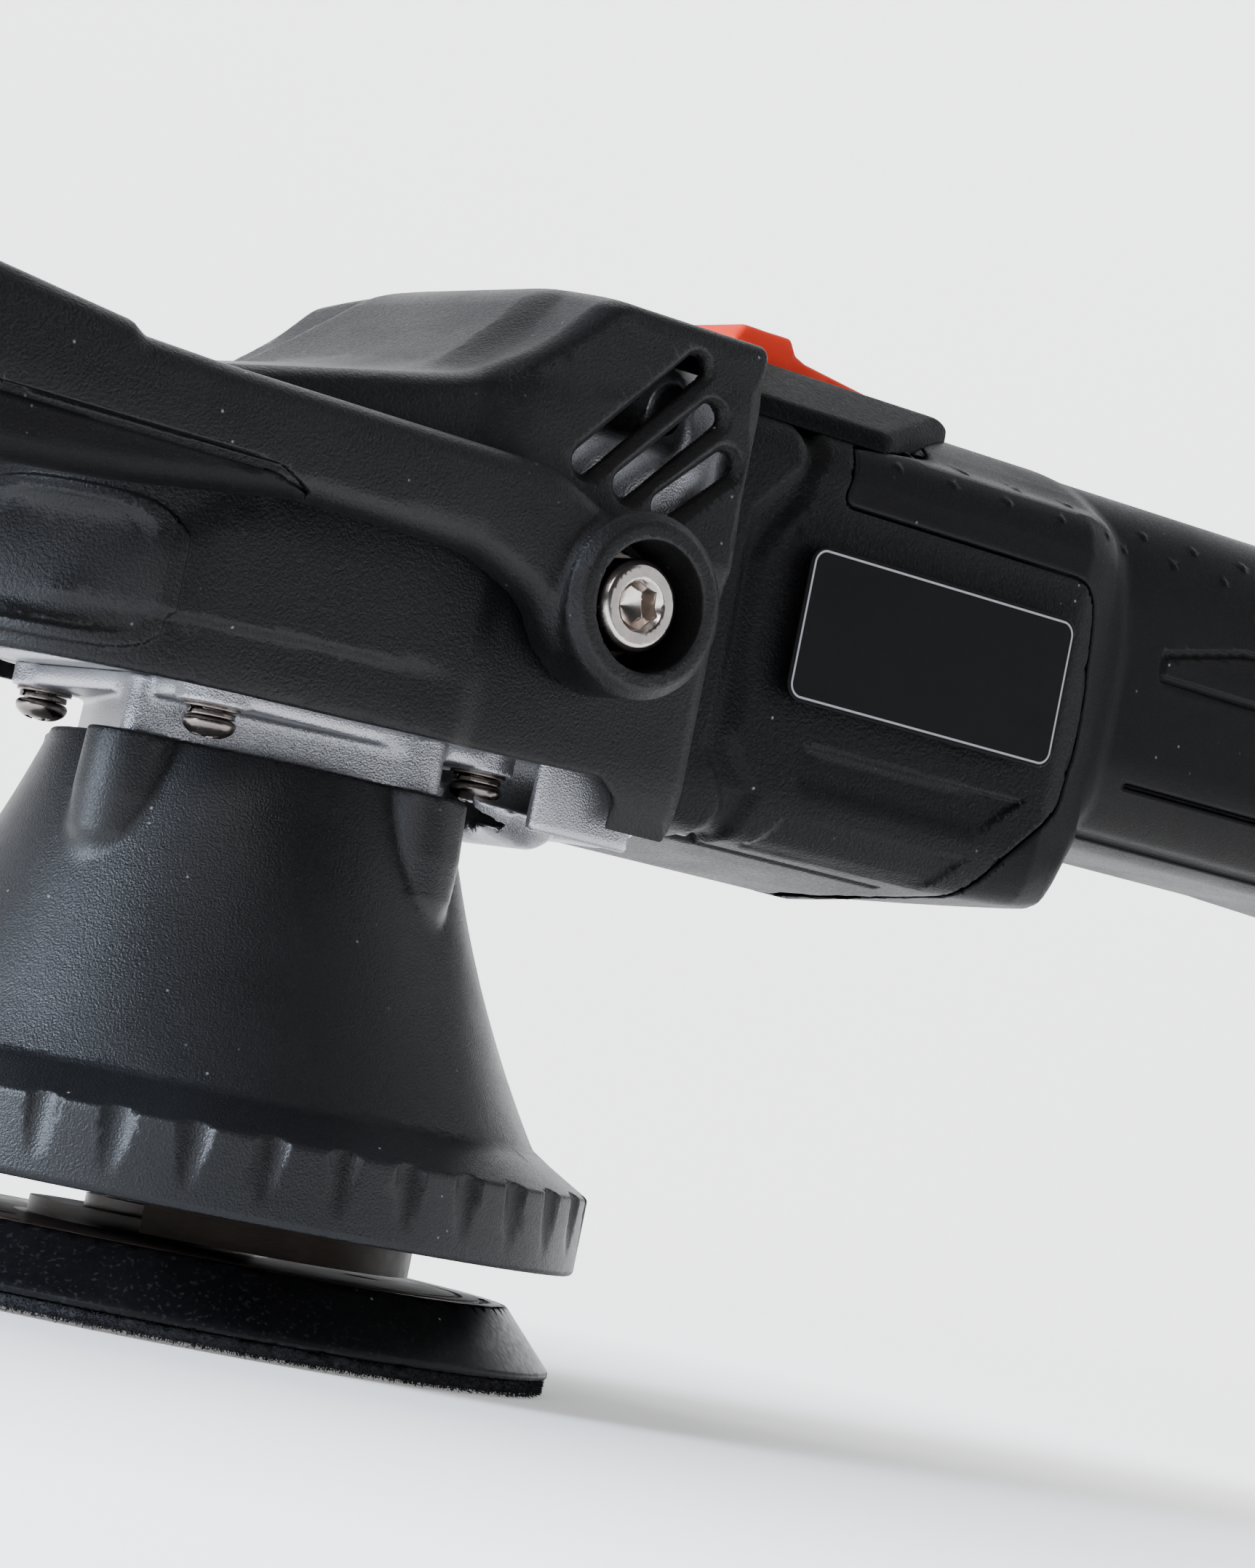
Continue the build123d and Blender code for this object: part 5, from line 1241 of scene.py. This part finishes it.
def make_camera():
    """A camera at the photograph's place and angle."""
    data = bpy.data.cameras.new("camera")
    data.sensor_width = 36.0
    data.lens = CAMERA_LENS
    data.clip_start = 0.01
    holder = bpy.data.objects.new("camera", data)
    bpy.context.scene.collection.objects.link(holder)
    azimuth, pitch, roll = (radians(v) for v in (CAMERA_AZIMUTH, CAMERA_PITCH, CAMERA_ROLL))
    ahead = Vector((sin(azimuth) * cos(pitch), cos(azimuth) * cos(pitch), sin(pitch)))
    right = ahead.cross(Vector((0, 0, 1))).normalized()
    up = right.cross(ahead)
    across = cos(roll) * right + sin(roll) * up
    above = -sin(roll) * right + cos(roll) * up
    turn = Matrix((across, above, -ahead)).transposed().to_4x4()
    holder.matrix_world = Matrix.Translation(CAMERA_PLACE) @ turn
    bpy.context.scene.camera = holder


# ------------------------------------------------------------------ the record's material slots
def label_film(name):
    """Satin black film with a thin pale line just inside its edge."""
    g = Graph(name)
    split = g.nodes.new("ShaderNodeSeparateXYZ")
    g.links.new(g.place, split.inputs["Vector"])
    far = []
    for axis, k in (("X", 0), ("Z", 2)):
        middle, half = (LABEL_LOW[k] + LABEL_HIGH[k]) / 2, (LABEL_HIGH[k] - LABEL_LOW[k]) / 2
        offset = g.sums("SUBTRACT", split.outputs[axis], middle * MM)
        far.append(g.sums("SUBTRACT", g.sums("ABSOLUTE", offset, 0.0), (half - 2.8) * MM))
    out = [g.sums("MAXIMUM", v, 0.0) for v in far]
    round_part = g.sums("SQRT", g.sums("ADD", g.sums("MULTIPLY", out[0], out[0]),
                                       g.sums("MULTIPLY", out[1], out[1])), 0.0)
    inner = g.sums("MINIMUM", g.sums("MAXIMUM", far[0], far[1]), 0.0)
    distance = g.sums("SUBTRACT", g.sums("ADD", round_part, inner), 2.8 * MM)
    off = g.sums("ABSOLUTE", g.sums("ADD", distance, 0.75 * MM), 0.0)
    stroke = g.span(off, 0.10 * MM, 0.2 * MM, 0.75, 0.0)
    broad = g.noise(45, 3.0)
    film = g.mix(g.span(broad, 0.3, 0.7, 0, 1), rgb(0.0022, 0.0023, 0.0025), rgb(0.0032, 0.0033, 0.0036))
    fine = g.noise(900, 2.0)
    g.set(Base_Color=g.mix(stroke, film, rgb(0.42, 0.43, 0.45)), Roughness=g.span(broad, 0.3, 0.7, 0.4, 0.52))
    g.shader.inputs["Specular IOR Level"].default_value = 0.1
    g.bump(fine, 0.08, 0.0002)
    return g.material


def laminate(name):
    """Brown fibre board: fine flecks, rubbed rings and a dusty film."""
    g = Graph(name)
    fibre = g.noise(240, 5.0, 0.7, (1, 1, 6))
    broad = g.noise(28, 3.0)
    colour = g.mix(g.span(fibre, 0.35, 0.65, 0, 1), rgb(0.040, 0.022, 0.015), rgb(0.095, 0.056, 0.040))
    colour = g.mix(g.span(broad, 0.45, 0.7, 0, 0.5), colour, rgb(0.12, 0.085, 0.07))
    g.set(Base_Color=colour, Roughness=g.span(fibre, 0.3, 0.7, 0.42, 0.62))
    g.bump(fibre, 0.25, 0.0003)
    return g.material


def pile(name):
    """Hook pile: dark strands with paler tips and lint."""
    g = Graph(name)
    fine = g.noise(1500, 3.0, 0.7)
    lint = g.span(g.noise(210, 4.0, 0.7), 0.62, 0.74, 0, 0.5)
    colour = g.mix(g.span(fine, 0.3, 0.7, 0, 1), rgb(0.010, 0.010, 0.011), rgb(0.035, 0.035, 0.038))
    g.set(Base_Color=g.mix(lint, colour, rgb(0.16, 0.16, 0.165)),
          Roughness=g.span(fine, 0.3, 0.7, 0.75, 0.95))
    g.shader.inputs["Specular IOR Level"].default_value = 0.15
    g.bump(fine, 0.8, 0.0005)
    return g.material


def tinted(name, dark, light, rough, level, grain=900, depth=0.12, scale=60):
    """Satin or glossy solid colour with faint mottling, smears and rubbed edges."""
    g = Graph(name)
    fine = g.noise(grain, 2.0, 0.6)
    broad = g.noise(scale, 4.0, 0.6)
    colour = g.mix(g.span(broad, 0.32, 0.68, 0, 1), rgb(*dark), rgb(*light))
    colour = g.mix(g.sums("MULTIPLY", g.edges(0.51, 0.58), 0.4), colour,
                   rgb(*[min(1, c * 1.5 + 0.02) for c in light]))
    g.set(Base_Color=colour, Roughness=g.span(broad, 0.3, 0.7, rough - 0.06, rough + 0.08))
    g.shader.inputs["Specular IOR Level"].default_value = level
    g.bump(fine, depth, 0.0003)
    return g.material


SHELL_PLASTIC = moulded("shell_plastic", (0.0018, 0.0018, 0.0021), (0.0032, 0.0032, 0.0036), 0.44, 1900, 0.9,
                        0.35, 0.12)
SHROUD_PLASTIC = moulded("shroud_plastic", (0.0021, 0.0022, 0.0027), (0.0036, 0.0038, 0.0045), 0.40, 2800,
                         0.60, 0.35, 0.36)
SADDLE_PLASTIC = moulded("saddle_plastic", (0.0016, 0.0017, 0.0020), (0.0030, 0.0031, 0.0034), 0.6, 1500, 1.0,
                         0.3, 0.05)
DARK_NICKEL = turned_metal("dark_nickel", (0.22, 0.19, 0.17), 0.24, (1, 1, 4), (0.10, 0.07, 0.05), 0.4)
BRIGHT_NICKEL = turned_metal("bright_nickel", (0.58, 0.52, 0.48), 0.22, (1, 1, 1), (0.24, 0.17, 0.14), 0.35)
OXIDE_STEEL = turned_metal("oxide_steel", (0.028, 0.024, 0.021), 0.42, (1, 1, 9), (0.014, 0.010, 0.008), 0.4)
FINISH = {
    "black_plastic": SHELL_PLASTIC,
    "cover_black": moulded("cover_plastic", (0.0021, 0.0020, 0.0022), (0.0036, 0.0034, 0.0037), 0.44, 2100,
                           0.65, 0.3, 0.25),
    "rubber_black": moulded("overmould", (0.0019, 0.0018, 0.0019), (0.0032, 0.0030, 0.0032), 0.48, 2600, 0.35,
                            0.3, 0.11),
    "cast_aluminium": cast_metal("cast_alloy", (0.42, 0.42, 0.44), 0.36, 4200, 0.5),
    "steel": turned_metal("turned_steel", (0.10, 0.090, 0.082), 0.36),
    "stainless": BRIGHT_NICKEL,
    "weight_steel": turned_metal("milled_weight", (0.022, 0.018, 0.015), 0.48, (1, 1, 9),
                                 (0.03, 0.018, 0.012), 0.5),
    "laminated_board": laminate("fibre_laminate"),
    "plate_urethane": moulded("plate_urethane", (0.0028, 0.0028, 0.0031), (0.0048, 0.0048, 0.0052), 0.36, 900,
                              0.15, 0.4, 0.10),
    "hook_fabric": pile("hook_fabric"),
    "red_plastic": tinted("red_plastic", (0.70, 0.030, 0.010), (0.80, 0.045, 0.016), 0.42, 0.12),
    "label_film": label_film("label_film"),
    "copper": turned_metal("copper_wire", (0.66, 0.32, 0.17), 0.32, (14, 1, 1), (0.2, 0.08, 0.04), 0.3),
    "circuit_board": tinted("circuit_board", (0.012, 0.09, 0.04), (0.02, 0.14, 0.06), 0.34, 0.5, 700, 0.25,
                            180),
    "cell_wrap": tinted("cell_wrap", (0.03, 0.12, 0.30), (0.05, 0.17, 0.38), 0.3, 0.5, 500, 0.06, 90),
    "clear_smoke": tinted("smoked_lens", (0.012, 0.012, 0.014), (0.02, 0.02, 0.022), 0.14, 0.6, 600, 0.03,
                          50),
}


def dress_cad_nodes():
    """Give each node that is still shown the finish of its slot."""
    for node, shown in frame["nodes"].items():
        shown.data.materials.clear()
        shown.data.materials.append(OXIDE_STEEL if node in ("spindle",
                                                            "counterweight_screws") else FINISH[SLOT[node]])


def stand_for(piece, node, material=None):
    """Let a piece take a node's place, in the finish of the node's slot unless another is given."""
    return finish_piece(piece, node, BODY[node], material or FINISH[SLOT[node]])


dress_cad_nodes()
stand_for(make_head_cover(), "head_cover")
for piece, node in zip(make_housing(), ("motor_housing_left", "motor_housing_right", "grip_sleeve")):
    stand_for(piece, node)
for piece, node in zip(make_handle(), ("handle_frame", "handle_grip")):
    stand_for(piece, node)
skirt, flange, gears = make_drive_castings()
stand_for(skirt, "shroud", SHROUD_PLASTIC)
stand_for(flange, "bearing_flange")
stand_for(gears, "gear_housing")
screws, washers, bolts, rings = make_hardware()
stand_for(screws, "flange_screws", DARK_NICKEL)
stand_for(washers, "flange_washers", DARK_NICKEL)
stand_for(bolts, "handle_bolts")
stand_for(rings, "handle_washers", BRIGHT_NICKEL)
for node, piece in make_controls().items():
    stand_for(piece, node, SADDLE_PLASTIC if node == "switch_bezel" else None)
for piece in make_hook_pile():
    stand_for(piece, "backing_hook")
make_stage()
make_lights()
make_camera()
